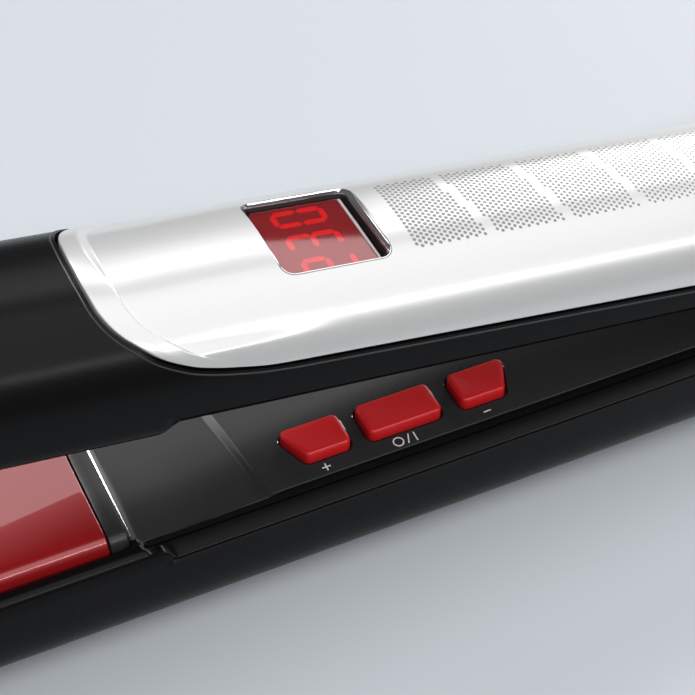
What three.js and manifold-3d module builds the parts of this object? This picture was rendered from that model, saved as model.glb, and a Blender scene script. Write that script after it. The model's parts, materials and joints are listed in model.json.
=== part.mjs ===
// A digital hair straightener (flat iron): two hinged arms, each with a sprung heating plate.
// Millimetres, +Z up. The iron lies on the flat belly of its lower arm, and its nose points to -X.
//
// Each arm is drawn in an arm frame: the origin is on the hinge axis, X runs along the arm (nose at -X),
// Y runs across, and +Z runs outwards from the plane in which the two closed arms meet. The upper arm is
// that frame turned by the opening angle, and the lower arm is that frame turned upside down, so that
// its +Y side is the object's -Y side, where the buttons are.
import * as THREE from "three";
import { mergeVertices } from "three/addons/utils/BufferGeometryUtils.js";
import Module from "manifold-3d";

const wasm = await Module();
wasm.setup();

// ---- driving dimensions -----------------------------------------------------------------------------
const OPENING = THREE.MathUtils.degToRad(8.6); // the angle that the spring holds the arms at
const NOSE = -249; // the nose's tip, along the arm from the hinge axis
const TAIL = 34; // the end of the tail housing
const COLLAR_END = 40; // the end of the cord collar
const HALF_WIDTH = 18.2; // of both arms, at their widest
const WIDEST = 3.75; // height of the widest line above the meeting plane
const UPPER_DEPTH = 18.2;
const LOWER_DEPTH = 20;
const BELLY = 19.7; // the flat strip that the iron lies on
const GAP = 0.3; // between pieces that touch
const WALL = 1.8;

const PLATE_START = -239.4;
const PLATE_END = -149.4;
const PLATE_HALF = 14;
const PLATE_FACE = 0.1; // plate face above the meeting plane
const PLATE_SKIRT = 4.2;
const PLATE_TRAVEL = 1; // that each plate gives under pressure
const BRIDGE_END = -146.2;
const CARRIER_START = -242.4;
const CARRIER_HALF = 15.4;
const LIP_HALF = 15.7; // half the shell's opening beside the plate
const LIP_FACE = 0.9; // top of that lip
const SHOULDER = -143; // where the lip changes to the chamfer

const PANEL_HALF = 13.9;
const PANEL_FACE = 1.7; // along the panel's middle
const PANEL_CROWN = 0.7; // fall of the panel from its middle to its edge
const PANEL_THICK = 1.5;
const PANEL_SKIRT = 6.6; // end of the skirts down its sides
const PANEL_END = -20;
const TRAY_SHOULDER = 7; // the carrier's wide part ends here
const TRAY_BOTTOM = 10.9;
const WELL_HALF = 10.6; // half the width of its deep part
const STEP_X = -126.4; // the raised button field starts here
const STEP_HEIGHT = 0.6;
const CHAMFER_HALF = 14.4;
const CHAMFER_FACE = 2.4;

const SCREW_X = -30;
const SCREW_Y = 8;
const SCREW_RADIUS = 1.5;
const SCREW_TIP = 12;
const PANEL_BOSS = 8; // end of the bosses that the screws go through

const HINGE_RADIUS = 17;
const HINGE_CLEAR = 17.4;
const LIP_OF_TAIL = 4; // where the tail housing closes behind the barrel
const KNUCKLE_HALF = 9.6;
const CHEEK_INNER = 9.9;
const CHEEK_HALF = 17.8;
const PIN_RADIUS = 3;
const PIN_HALF = 16.4;
const CAP_RADIUS = 10;
const CAP_SEAT = 16.5; // floor of the recess that each cap sits in

const WINDOW_X = -113.3; // middle of the display window
const WINDOW_LONG = 17.5;
const WINDOW_WIDE = 17.3;
const BEZEL_RIM = 1.3;

const COVER_FRONT = -150.5;
const COVER_REAR = -9;
const COVER_THICK = 1.6;
const COVER_SIDE_FRONT = 10.1; // height of the cover's side edge at its front
const COVER_SIDE_REAR = 6.9; // and at the hinge

const BUTTON_FAR = 3.9; // the buttons' edges, off the middle of the panel
const BUTTON_NEAR = 10.3;
const BUTTON_TOP = 0.25;
const BUTTON_TRAVEL = 0.6;
const BUTTON_FLANGE = 0.8;
const SLANT = 2.9; // of the outer ends of the two outer buttons
const BUTTONS = {
  plus: { start: -119, end: -108.6, slantStart: SLANT, slantEnd: 0 },
  power: { start: -105.6, end: -93, slantStart: 0, slantEnd: 0 },
  minus: { start: -89.6, end: -79.2, slantStart: 0, slantEnd: SLANT },
};

// ---- solids -------------------------------------------------------------------------------------------
function solid(geometry) {
  const bare = new THREE.BufferGeometry();
  bare.setAttribute("position", geometry.getAttribute("position").clone());
  bare.setIndex(geometry.index);
  const merged = mergeVertices(bare, 1e-4);
  return new wasm.Manifold(
    new wasm.Mesh({
      numProp: 3,
      vertProperties: new Float32Array(merged.attributes.position.array),
      triVerts: new Uint32Array(merged.index.array),
    }),
  );
}

function geometryOf(made) {
  const mesh = made.getMesh();
  const geometry = new THREE.BufferGeometry();
  geometry.setAttribute("position", new THREE.BufferAttribute(mesh.vertProperties, 3));
  geometry.setIndex(new THREE.BufferAttribute(mesh.triVerts, 1));
  geometry.computeVertexNormals();
  return geometry;
}

// An outline of [a, b] points pushed along Z, X or Y.
function prism(outline, low, high) {
  const isShape = outline instanceof THREE.Shape;
  const shape = isShape ? outline : new THREE.Shape(outline.map(([a, b]) => new THREE.Vector2(a, b)));
  const options = { depth: high - low, bevelEnabled: false, curveSegments: 5 };
  return new THREE.ExtrudeGeometry(shape, options).translate(0, 0, low);
}

const ALONG_X = new THREE.Matrix4().makeBasis(
  new THREE.Vector3(0, 1, 0),
  new THREE.Vector3(0, 0, 1),
  new THREE.Vector3(1, 0, 0),
);
const ALONG_Y = new THREE.Matrix4().makeBasis(
  new THREE.Vector3(1, 0, 0),
  new THREE.Vector3(0, 0, 1),
  new THREE.Vector3(0, -1, 0),
);

const acrossX = (outline, low, high) => solid(prism(outline, low, high).applyMatrix4(ALONG_X));
const acrossY = (outline, low, high) => solid(prism(outline, -high, -low).applyMatrix4(ALONG_Y));
const acrossZ = (outline, low, high) => solid(prism(outline, low, high));

// A box given by its lowest and highest corner.
function block([x0, y0, z0], [x1, y1, z1]) {
  const box = new THREE.BoxGeometry(x1 - x0, y1 - y0, z1 - z0);
  return solid(box.translate((x0 + x1) / 2, (y0 + y1) / 2, (z0 + z1) / 2));
}

function rodY(radius, low, high, x = 0, z = 0, sides = 40) {
  const rod = new THREE.CylinderGeometry(radius, radius, high - low, sides);
  return solid(rod.translate(x, (low + high) / 2, z));
}

function rodZ(radius, low, high, x, y, sides = 16) {
  const rod = new THREE.CylinderGeometry(radius, radius, high - low, sides);
  return solid(rod.rotateX(Math.PI / 2).translate(x, y, (low + high) / 2));
}

function rodX(radius, low, high, y, z, sides = 16) {
  const rod = new THREE.CylinderGeometry(radius, radius, high - low, sides);
  return solid(rod.rotateZ(Math.PI / 2).translate((low + high) / 2, y, z));
}

// A closed [x, radius] profile spun about the X axis, or about the Z axis with spinZ.
function spin(profile, sides) {
  return new THREE.LatheGeometry(profile.map(([along, radius]) => new THREE.Vector2(radius, along)), sides);
}
const spinX = (profile, sides = 36) => solid(spin(profile, sides).rotateZ(-Math.PI / 2));
const spinZ = (profile, x, y, sides = 16) =>
  solid(spin(profile, sides).rotateX(Math.PI / 2).translate(x, y, 0));

// A polygon with rounded corners.
function rounded(points, radius) {
  const shape = new THREE.Shape();
  points.forEach((point, i) => {
    const corner = new THREE.Vector2(...point);
    const towards = (other) => new THREE.Vector2(...other).sub(corner).setLength(radius).add(corner);
    const before = towards(points.at(i - 1));
    const after = towards(points[(i + 1) % points.length]);
    if (i === 0) shape.moveTo(before.x, before.y);
    else shape.lineTo(before.x, before.y);
    shape.quadraticCurveTo(corner.x, corner.y, after.x, after.y);
  });
  shape.closePath();
  return shape;
}

function rectangle(x0, x1, y0, y1, radius) {
  return rounded([[x0, y0], [x1, y0], [x1, y1], [x0, y1]], radius);
}

// Points on a quarter of a superellipse, from its side [a, base] to its top [0, base + b].
function quarter(a, b, power, base, steps) {
  return Array.from({ length: steps + 1 }, (_, i) => {
    const turn = (i / steps) * (Math.PI / 2);
    return [a * Math.cos(turn) ** (2 / power), base + b * Math.sin(turn) ** (2 / power)];
  });
}

const mirrored = (half) => [...half, ...half.filter(([y]) => y > 0).reverse().map(([y, z]) => [-y, z])];

// ---- the arms' bodies ---------------------------------------------------------------------------------
// Cross-section of an arm, shrunk by inset: its lip, its side and its crown.
function armSection(depth, power, base, inset) {
  const lip = [
    [LIP_HALF + 0.5 - inset, LIP_FACE + inset],
    [HALF_WIDTH - 0.9 - inset, LIP_FACE + 0.4 + inset],
  ];
  const crown = quarter(HALF_WIDTH - inset, depth - base - inset, power, base, 9);
  return mirrored([...lip, ...crown.filter(([, z]) => z > 2.5 + inset)]);
}

// The nose is rounded in plan and in side view. Behind the hinge axis both outlines follow the tail.
function armPlan(inset, tail) {
  const radius = 11;
  const start = NOSE + radius;
  const half = HALF_WIDTH + 0.05 - inset;
  const corner = Array.from({ length: 6 }, (_, i) => {
    const turn = (i / 5) * (Math.PI / 2);
    return [start - (radius - inset) * Math.sin(turn), half - (radius - inset) * (1 - Math.cos(turn))];
  });
  const side = [...tail.map(({ x, half: reach }) => [x, reach - inset]), [0, half], ...corner];
  return [...side, ...side.map(([x, y]) => [x, -y]).reverse()];
}

function armProfile(depth, inset, tail) {
  const noseLength = 18;
  const noseHeight = 7;
  const arc = Array.from({ length: 6 }, (_, i) => {
    const turn = (i / 5) * (Math.PI / 2);
    return [
      NOSE + noseLength - (noseLength - inset) * Math.sin(turn),
      noseHeight + (depth - noseHeight - inset) * Math.cos(turn),
    ];
  });
  const back = tail.map(({ x, height }) => [x, height - inset]);
  const rear = tail.length ? tail[0].x : 0;
  const atHinge = tail.length ? HINGE_CLEAR + WALL : HINGE_RADIUS + 0.3;
  return [[rear, -1], ...back, [0, atHinge - inset], [-30, depth - inset], ...arc, [NOSE + inset, -1]];
}

function armBody({ depth, power, base, tail }, inset) {
  return acrossX(armSection(depth, power, base, inset), NOSE - 1, 20)
    .intersect(acrossZ(armPlan(inset, tail), -2, 30))
    .intersect(acrossY(armProfile(depth, inset, tail), -20, 20));
}
const UPPER = { depth: UPPER_DEPTH, power: 2.55, base: 0, tail: [] };
const LOWER_TAIL = [{ x: 14, half: 15.6, height: 15.6 }, { x: 8, half: 17.3, height: 17.8 }];
const LOWER = { depth: LOWER_DEPTH, power: 4, base: WIDEST, tail: LOWER_TAIL };
const upperBody = (inset) => armBody(UPPER, inset);
const lowerBody = (inset) => armBody(LOWER, inset);

// Behind the plate the lip gives way to a chamfer along both sides of the inner panel.
function chamferCut() {
  const reach = HALF_WIDTH + 4;
  const slope = (WIDEST - CHAMFER_FACE) / (HALF_WIDTH - CHAMFER_HALF);
  const end = CHAMFER_FACE + slope * (reach - CHAMFER_HALF);
  const half = [[CHAMFER_HALF, CHAMFER_FACE], [reach, end], [reach, -2]];
  return acrossX([...half, ...half.reverse().map(([y, z]) => [-y, z])], SHOULDER, 2);
}

// The room for the plate carrier and the inner panel, open towards the other arm.
function innerOpening() {
  const start = CARRIER_START - GAP;
  const besidePlate = block([start, -LIP_HALF, -2], [BRIDGE_END, LIP_HALF, TRAY_SHOULDER + GAP]);
  const well = block([start, -WELL_HALF - GAP, 2], [BRIDGE_END, WELL_HALF + GAP, TRAY_BOTTOM + GAP]);
  const besidePanel = block([BRIDGE_END - 1, -PANEL_HALF - GAP, -2], [PANEL_END + GAP, PANEL_HALF + GAP, 7]);
  return besidePlate.add(well).add(besidePanel);
}

// Sockets on the shell's floor for the screws that come through the inner panel.
function screwSockets(floor) {
  const sockets = [-1, 1].map((side) =>
    rodZ(3.2, PANEL_BOSS + GAP, floor, SCREW_X, side * SCREW_Y).subtract(
      rodZ(SCREW_RADIUS + GAP, 0, SCREW_TIP + GAP, SCREW_X, side * SCREW_Y),
    ),
  );
  return sockets[0].add(sockets[1]);
}

// The hollow inside an arm, which stops short of the hinge.
function hollow(body) {
  const stop = block([NOSE, -20, WIDEST], [PANEL_END + GAP, 20, 30]);
  return body.intersect(stop);
}

// ---- lower arm ------------------------------------------------------------------------------------------
// A bullet-shaped housing behind the hinge, round about the cord's axis.
function tailHousing() {
  const start = -4;
  const mouth = 9.4;
  const shoulder = new THREE.CubicBezierCurve(
    new THREE.Vector2(4, CHEEK_HALF),
    new THREE.Vector2(14, CHEEK_HALF),
    new THREE.Vector2(22, 14),
    new THREE.Vector2(TAIL, mouth),
  );
  const curve = shoulder.getPoints(7).map(({ x, y }) => [x, y]);
  return spinX([[start, 0], [start, CHEEK_HALF], ...curve, [TAIL, 0]]);
}

function lowerShell() {
  const cheeks = rodY(HINGE_RADIUS, CHEEK_INNER, CHEEK_HALF).add(
    rodY(HINGE_RADIUS, -CHEEK_HALF, -CHEEK_INNER),
  );
  const seat = CAP_RADIUS + GAP;
  const capSeats = rodY(seat, CAP_SEAT, 19).add(rodY(seat, -19, -CAP_SEAT));
  const cordRoom = spinX([[12, 0], [12, 10.4], [24, 10.4], [30.7, 8.6], [30.7, 6.6], [36, 6.6], [36, 0]]);
  const cableWay = rodX(4, -30, -12, 0, 14.2);
  return lowerBody(0)
    .subtract(chamferCut())
    .subtract(hollow(lowerBody(WALL)))
    .subtract(innerOpening())
    .add(cheeks)
    .add(tailHousing())
    .add(screwSockets(LOWER_DEPTH - WALL))
    .subtract(rodY(HINGE_CLEAR, -CHEEK_INNER, CHEEK_INNER, 0, 0, 48))
    .subtract(block([-20, -CHEEK_INNER, -30], [LIP_OF_TAIL, CHEEK_INNER, 0]))
    .subtract(cordRoom)
    .subtract(cableWay)
    .subtract(rodY(PIN_RADIUS + GAP, -30, 30, 0, 0, 20))
    .subtract(capSeats)
    .intersect(block([NOSE - 1, -30, -30], [TAIL + 1, 30, BELLY]));
}

// Crowned cross-section of the inner panel with a skirt down each side.
function panelSection(face) {
  const steps = 4;
  const crown = (y, drop) => face + drop + PANEL_CROWN * (y / PANEL_HALF) ** 2;
  const top = Array.from({ length: 2 * steps + 1 }, (_, i) => PANEL_HALF * (i / steps - 1));
  const inner = PANEL_HALF - 1.4;
  return [
    ...top.map((y) => [y, crown(y, 0)]),
    [PANEL_HALF, PANEL_SKIRT],
    [inner, PANEL_SKIRT],
    ...top.map((y) => [(-y / PANEL_HALF) * inner, crown(y, PANEL_THICK)]),
    [-inner, PANEL_SKIRT],
    [-PANEL_HALF, PANEL_SKIRT],
  ];
}

function innerPanel(hasButtons) {
  const saddle = acrossX(panelSection(PANEL_FACE + STEP_HEIGHT), BRIDGE_END + GAP, STEP_X + 1);
  const field = acrossX(panelSection(PANEL_FACE), STEP_X, PANEL_END);
  let panel = saddle.add(field);
  for (const side of [-1, 1]) {
    const boss = rodZ(3.4, PANEL_FACE + 1.4, PANEL_BOSS, SCREW_X, side * SCREW_Y);
    const seat = PANEL_FACE + 1.4;
    const bore = spinZ([[-1, 0], [-1, 3], [seat, 3], [seat, 1.9], [9, 1.9], [9, 0]], SCREW_X, side * SCREW_Y);
    panel = panel.add(boss).subtract(bore);
  }
  if (!hasButtons) return panel;
  for (const x of [SWITCH_POST_FRONT, SWITCH_POST_REAR]) {
    panel = panel.add(rodZ(1.6, PANEL_FACE + 1.2, BOARD_FACE - GAP, x, -6));
  }
  for (const button of Object.values(BUTTONS)) {
    panel = panel.subtract(acrossZ(buttonOutline(button, GAP), -1, 6));
  }
  return panel;
}

function screw(side) {
  const face = PANEL_FACE + 0.5;
  const neck = face + 0.6;
  const shank = SCREW_RADIUS;
  const head = 2.7;
  const end = SCREW_TIP - 1;
  const profile = [[face, 0], [face, head], [neck, head], [neck, shank], [end, shank], [SCREW_TIP, 0]];
  return spinZ(profile, SCREW_X, side * SCREW_Y);
}

// The tray that guides a plate, on posts that stand on the shell's floor.
function carrier(footHeight) {
  const start = CARRIER_START;
  const end = BRIDGE_END - 3.4;
  const rim = 2.6;
  const floor = TRAY_BOTTOM - 1.4;
  const upper = block([start, -CARRIER_HALF, rim], [end, CARRIER_HALF, TRAY_SHOULDER]).subtract(
    block([PLATE_START - GAP, -PLATE_HALF - GAP, 0], [end + 1, PLATE_HALF + GAP, TRAY_SHOULDER - 1.2]),
  );
  const well = block([start, -WELL_HALF, TRAY_SHOULDER - 1], [end, WELL_HALF, TRAY_BOTTOM]);
  const room = block([PLATE_START + 4, -WELL_HALF + 1.2, 0], [end + 1, WELL_HALF - 1.2, floor]);
  const lip = block([start, -13, 1.2], [PLATE_START - GAP, 13, rim + 0.1]);
  let made = upper.add(well).subtract(room).add(lip);
  for (const x of [-226, -162]) {
    for (const y of [-7, 7]) {
      made = made.add(rodZ(2, floor + 1, footHeight, x, y, 12));
    }
  }
  return made.subtract(block([-200, -4, floor - 1], [-186, 4, TRAY_BOTTOM + 1]));
}

// The cap between the plate and the inner panel, in the plate's own profile.
function endBridge() {
  const face = PLATE_FACE + 0.25;
  const edge = quarter(2.4, 2.3, 2, 0, 4).map(([y, z]) => [PLATE_HALF - 2.4 + y, face + 2.3 - z]);
  const half = [[PLATE_HALF, 6.8], ...edge];
  const whole = [...half, ...half.reverse().map(([y, z]) => [-y, z])];
  const passage = block([-160, -9, 3.4], [-140, 9, 9]);
  return acrossX(whole, BRIDGE_END - 2.9, BRIDGE_END).subtract(passage);
}

// ---- heating plates ---------------------------------------------------------------------------------
function plate() {
  const roll = 2.4;
  const skin = 1.3;
  const outer = quarter(roll, roll, 2, 0, 5).map(([y, z]) => [PLATE_HALF - roll + y, PLATE_FACE + roll - z]);
  const inner = [[PLATE_HALF - roll, PLATE_FACE + 1.7], [PLATE_HALF - skin, PLATE_FACE + 2.8]];
  const half = [...inner, [PLATE_HALF - skin, PLATE_SKIRT], [PLATE_HALF, PLATE_SKIRT], ...outer];
  return acrossX([...half, ...half.reverse().map(([y, z]) => [-y, z])], PLATE_START, PLATE_END);
}

const HEATER_START = -230;
const HEATER_END = -160;
const HEATER_FACE = 2.1;

const heater = () => block([HEATER_START, -7, HEATER_FACE], [HEATER_END, 7, HEATER_FACE + 2.2]);

function heaterClip() {
  const tray = block([HEATER_START - 3, -8.2, HEATER_FACE], [HEATER_END + 3, 8.2, 5.4]);
  const room = block([HEATER_START - 4, -7.3, HEATER_FACE - 1], [HEATER_END + 4, 7.3, 4.6]);
  const pegs = SPRING_X.map((x) => rodZ(2.2, 5.2, 6.4, x, 0, 12));
  return tray.subtract(room).add(pegs[0]).add(pegs[1]);
}

const thermistor = () => rodX(1, -182, -176, 10.6, 3.2, 10);
const thermalCutoff = () => rodX(1.3, -212, -201, -10.7, 3.4, 12);

// A helix as a tube. The turns run along Z, or along Y for the hinge spring.
class Helix extends THREE.Curve {
  constructor(radius, low, high, turns) {
    super();
    Object.assign(this, { radius, low, high, turns });
  }
  getPoint(t, target = new THREE.Vector3()) {
    const turn = 2 * Math.PI * this.turns * t;
    const z = this.low + (this.high - this.low) * t;
    return target.set(this.radius * Math.cos(turn), this.radius * Math.sin(turn), z);
  }
}

function coil(radius, wire, low, high, turns) {
  const ring = new THREE.Shape().absarc(0, 0, wire / 2, 0, 2 * Math.PI);
  const path = new Helix(radius, low + wire / 2, high - wire / 2, turns);
  return new THREE.ExtrudeGeometry(ring, {
    extrudePath: path,
    steps: Math.round(9 * turns),
    bevelEnabled: false,
    curveSegments: 3,
  });
}

const SPRING_X = [-214, -176];
const plateSpring = (x) => solid(coil(3.2, 0.7, 5.7, 9.2, 2.5).translate(x, 0, 0));

// ---- buttons and boards ---------------------------------------------------------------------------------
const BOARD_FACE = 9.2;
const SWITCH_POST_FRONT = -122;
const SWITCH_POST_REAR = -75;

function buttonOutline({ start, end, slantStart, slantEnd }, grow = 0) {
  const corners = [
    [start - grow, BUTTON_FAR - grow],
    [end + grow, BUTTON_FAR - grow],
    [end - slantEnd + grow, BUTTON_NEAR + grow],
    [start + slantStart - grow, BUTTON_NEAR + grow],
  ];
  return rounded(corners, 1.1 + grow);
}

function pushButton(button) {
  const flangeTop = PANEL_FACE + PANEL_CROWN * (BUTTON_NEAR / PANEL_HALF) ** 2 + PANEL_THICK + 0.4;
  const flangeEnd = flangeTop + 0.8;
  return acrossZ(buttonOutline(button), BUTTON_TOP, flangeEnd).add(
    acrossZ(buttonOutline(button, BUTTON_FLANGE), flangeTop, flangeEnd),
  );
}

const buttonMiddle = ({ start, end }) => (start + end) / 2;
const SWITCH_Y = (BUTTON_FAR + BUTTON_NEAR) / 2;

function tactSwitch(button) {
  const x = buttonMiddle(button);
  const body = block([x - 3, SWITCH_Y - 3, 6.4], [x + 3, SWITCH_Y + 3, BOARD_FACE - GAP]);
  return body.add(rodZ(1.6, 5.7, 6.5, x, SWITCH_Y, 12));
}

const buttonBoard = () => block([-125, -10, BOARD_FACE], [-72, 12, BOARD_FACE + 1.2]);

function controlBoard() {
  const face = 11.2;
  const plateOfBoard = block([-69, -11, face], [-36, 11, face + 1.4]);
  const chip = block([-51, -9, face - 1.5], [-44, -2, face + 0.1]);
  const terminals = block([-42, -9, face - 5], [-37, 9, face + 0.1]);
  return plateOfBoard.add(chip).add(terminals);
}
const mainsCapacitor = () => block([-67, -8, 3.6], [-52, 0, 10.9]);
const triac = () => block([-66, 3, 6.4], [-56, 7.4, 10.9]).add(block([-67.5, 2.2, 4.2], [-54.5, 3.1, 10.9]));

// ---- upper arm ------------------------------------------------------------------------------------------
// Side view of the part of the arm that the cover wraps, less a margin all round.
function coverZone(margin) {
  const front = COVER_FRONT + margin;
  const edge = COVER_SIDE_FRONT + margin;
  const rear = COVER_SIDE_REAR + margin;
  const sweep = new THREE.CubicBezierCurve(
    new THREE.Vector2(-130, edge - 0.1),
    new THREE.Vector2(-139, edge + 0.1),
    new THREE.Vector2(front, edge + 0.6),
    new THREE.Vector2(front, 19),
  );
  const points = sweep.getPoints(8).map(({ x, y }) => [x, y]);
  const end = COVER_REAR - margin;
  return acrossY([...points, [front, 25], [end, 25], [end, rear]], -25, 25);
}

function windowOutline(grow) {
  const long = WINDOW_LONG / 2 + grow;
  const wide = WINDOW_WIDE / 2 + grow;
  return rectangle(WINDOW_X - long, WINDOW_X + long, -wide, wide, 2 + grow);
}

// The barrel's sides stay clear of the cheeks, and the arm's sides stay clear of the cheeks' rims.
function clearOfCheeks(made) {
  const sides = rodY(HINGE_CLEAR, KNUCKLE_HALF, 30, 0, 0, 48).add(
    rodY(HINGE_CLEAR, -30, -KNUCKLE_HALF, 0, 0, 48),
  );
  const behind = block([-3, -30, -30], [60, 30, 40]).subtract(rodY(HINGE_CLEAR, -30, 30, 0, 0, 48));
  return made.subtract(sides).subtract(behind);
}

function upperHousing() {
  const recess = upperBody(-0.5).subtract(upperBody(COVER_THICK + GAP)).intersect(coverZone(0));
  const springRoom = rodY(8, -4.5, 12, 0, 0, 28);
  const noseRoom = hollow(upperBody(WALL)).intersect(block([NOSE, -20, 0], [COVER_FRONT - 2, 20, 30]));
  const frame = upperBody(0)
    .subtract(chamferCut())
    .subtract(recess)
    .subtract(hollow(upperBody(COVER_THICK + GAP + 1.4)))
    .subtract(noseRoom)
    .subtract(innerOpening())
    .add(screwSockets(SCREW_TIP + 1.4));
  return clearOfCheeks(frame.add(rodY(HINGE_RADIUS, -KNUCKLE_HALF, KNUCKLE_HALF, 0, 0, 48)))
    .subtract(springRoom)
    .subtract(rodX(4, -30, -12, 0, 9))
    .subtract(rodY(PIN_RADIUS + GAP, -30, 30, 0, 0, 20))
    .subtract(acrossZ(windowOutline(GAP), 10, 30));
}

function silverCover() {
  const skin = upperBody(0).subtract(upperBody(COVER_THICK)).intersect(coverZone(GAP));
  return clearOfCheeks(skin).subtract(acrossZ(windowOutline(GAP), 10, 30));
}

function displayBezel() {
  const inside = windowOutline(-BEZEL_RIM);
  return acrossZ(windowOutline(0), 12.8, 18.3).subtract(acrossZ(inside, 10, 30));
}
const displayLens = () => acrossZ(windowOutline(-BEZEL_RIM - GAP), 14.6, 15.6);
const displayModule = () => acrossZ(rectangle(WINDOW_X - 6.8, WINDOW_X + 6.8, -6.6, 6.6, 0.6), 9.4, 14.3);
const displayBoard = () => block([WINDOW_X - 18, -8, 7.6], [WINDOW_X + 14, 8, 9.1]);

// ---- hinge and cord collar ------------------------------------------------------------------------------
const hingePin = () => rodY(PIN_RADIUS, -PIN_HALF, PIN_HALF, 0, 0, 20);

function hingeCap(side) {
  const dish = rodY(6.4, HALF_WIDTH - 0.4, 20, 0, 0, 32);
  const cap = rodY(CAP_RADIUS, CAP_SEAT + GAP, HALF_WIDTH, 0, 0, 32).subtract(dish);
  return side > 0 ? cap : cap.rotate([0, 0, 180]);
}

function hingeSpring() {
  const turns = coil(5.4, 1.3, -3.6, 4.6, 4.5);
  return solid(turns.rotateX(-Math.PI / 2));
}

function cordCollar() {
  const bore = 3.4;
  return spinX([
    [27.6, bore], [27.6, 7.2], [30.3, 7.2], [30.3, 6.2], [TAIL + GAP, 6.2], [TAIL + GAP, 8.6],
    [36, 8.4], [COLLAR_END, 6.9], [COLLAR_END, bore], [27.6, bore],
  ], 28);
}
const collarRing = () => spinX([[24.8, 3.7], [24.8, 8], [27.2, 8], [27.2, 3.7], [24.8, 3.7]], 24);

// ---- materials ------------------------------------------------------------------------------------------
function material(color, roughness, metalness) {
  return new THREE.MeshStandardMaterial({ color, roughness, metalness });
}
const BLACK = () => material(0x161616, 0.45, 0);
const SILVER = () => material(0xdcdcda, 0.3, 0.25);
const RED = () => material(0x8e1519, 0.25, 0.2);
const BUTTON_RED = () => material(0xb8232a, 0.4, 0);
const CHROME = () => material(0xd8d8d8, 0.15, 0.9);
const GLASS = () => material(0x7a1014, 0.08, 0);
const STEEL = () => material(0xb4b4b0, 0.35, 0.9);
const CERAMIC = () => material(0xe8e4da, 0.6, 0);
const BOARD = () => material(0x1f5a33, 0.55, 0);

// ---- assembly -------------------------------------------------------------------------------------------
function place(group, name, made, finish) {
  const mesh = new THREE.Mesh(geometryOf(made), finish());
  mesh.name = name;
  group.add(mesh);
}

// What both arms have: the inner panel, the carrier, the bridge, the screws and the plate with its heater.
function fillArm(group, prefix, footHeight, hasButtons) {
  place(group, prefix + "inner_panel", innerPanel(hasButtons), BLACK);
  place(group, prefix + "plate_carrier", carrier(footHeight), BLACK);
  place(group, prefix + "end_bridge", endBridge(), BLACK);
  place(group, prefix + "plate", plate(), RED);
  place(group, prefix + "heater", heater(), CERAMIC);
  place(group, prefix + "heater_clip", heaterClip(), STEEL);
  place(group, prefix + "thermistor", thermistor(), CERAMIC);
  place(group, prefix + "plate_spring_front", plateSpring(SPRING_X[0]), STEEL);
  place(group, prefix + "plate_spring_rear", plateSpring(SPRING_X[1]), STEEL);
  place(group, prefix + "panel_screw_left", screw(1), STEEL);
  place(group, prefix + "panel_screw_right", screw(-1), STEEL);
}

const lowerArm = new THREE.Group();
place(lowerArm, "lower_outer_shell", lowerShell(), BLACK);
fillArm(lowerArm, "lower_", LOWER_DEPTH - WALL - GAP - 1, true);
place(lowerArm, "thermal_cutoff", thermalCutoff(), STEEL);
for (const [name, button] of Object.entries(BUTTONS)) {
  place(lowerArm, "button_" + name, pushButton(button), BUTTON_RED);
  place(lowerArm, "switch_" + name, tactSwitch(button), BLACK);
}
place(lowerArm, "button_board", buttonBoard(), BOARD);
place(lowerArm, "control_board", controlBoard(), BOARD);
place(lowerArm, "mains_capacitor", mainsCapacitor(), RED);
place(lowerArm, "triac", triac(), STEEL);
place(lowerArm, "hinge_pin", hingePin(), STEEL);
place(lowerArm, "hinge_cap_left", hingeCap(1), BLACK);
place(lowerArm, "hinge_cap_right", hingeCap(-1), BLACK);
place(lowerArm, "cord_collar", cordCollar(), BLACK);
place(lowerArm, "cord_collar_ring", collarRing(), STEEL);
lowerArm.rotation.x = Math.PI;

const upperArm = new THREE.Group();
place(upperArm, "upper_housing", upperHousing(), BLACK);
place(upperArm, "silver_cover", silverCover(), SILVER);
place(upperArm, "display_bezel", displayBezel(), CHROME);
place(upperArm, "display_lens", displayLens(), GLASS);
place(upperArm, "display_module", displayModule(), BLACK);
place(upperArm, "display_board", displayBoard(), BOARD);
place(upperArm, "hinge_spring", hingeSpring(), STEEL);
fillArm(upperArm, "upper_", UPPER_DEPTH - WALL - GAP - 1.5, false);
upperArm.rotation.y = OPENING;

// The part's origin is under the middle of its length, on the surface that it lies on.
const straightener = new THREE.Group();
straightener.add(lowerArm, upperArm);
straightener.position.set(-(NOSE + COLLAR_END) / 2, 0, BELLY);

export default straightener;
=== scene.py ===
"""Looks for a hair straightener with two hinged arms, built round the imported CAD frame.

Meshes are drawn in millimetres in an arm frame, as the arms themselves are: origin on the hinge axis,
nose at -X, +Z outwards from the plane in which the closed arms meet. UPPER and LOWER carry an arm frame
into the object's frame, in metres. In the lower arm's frame +Y is the object's near side (-Y).
"""
import json
import math
import bmesh
import bpy
from mathutils import Matrix, Vector


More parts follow.
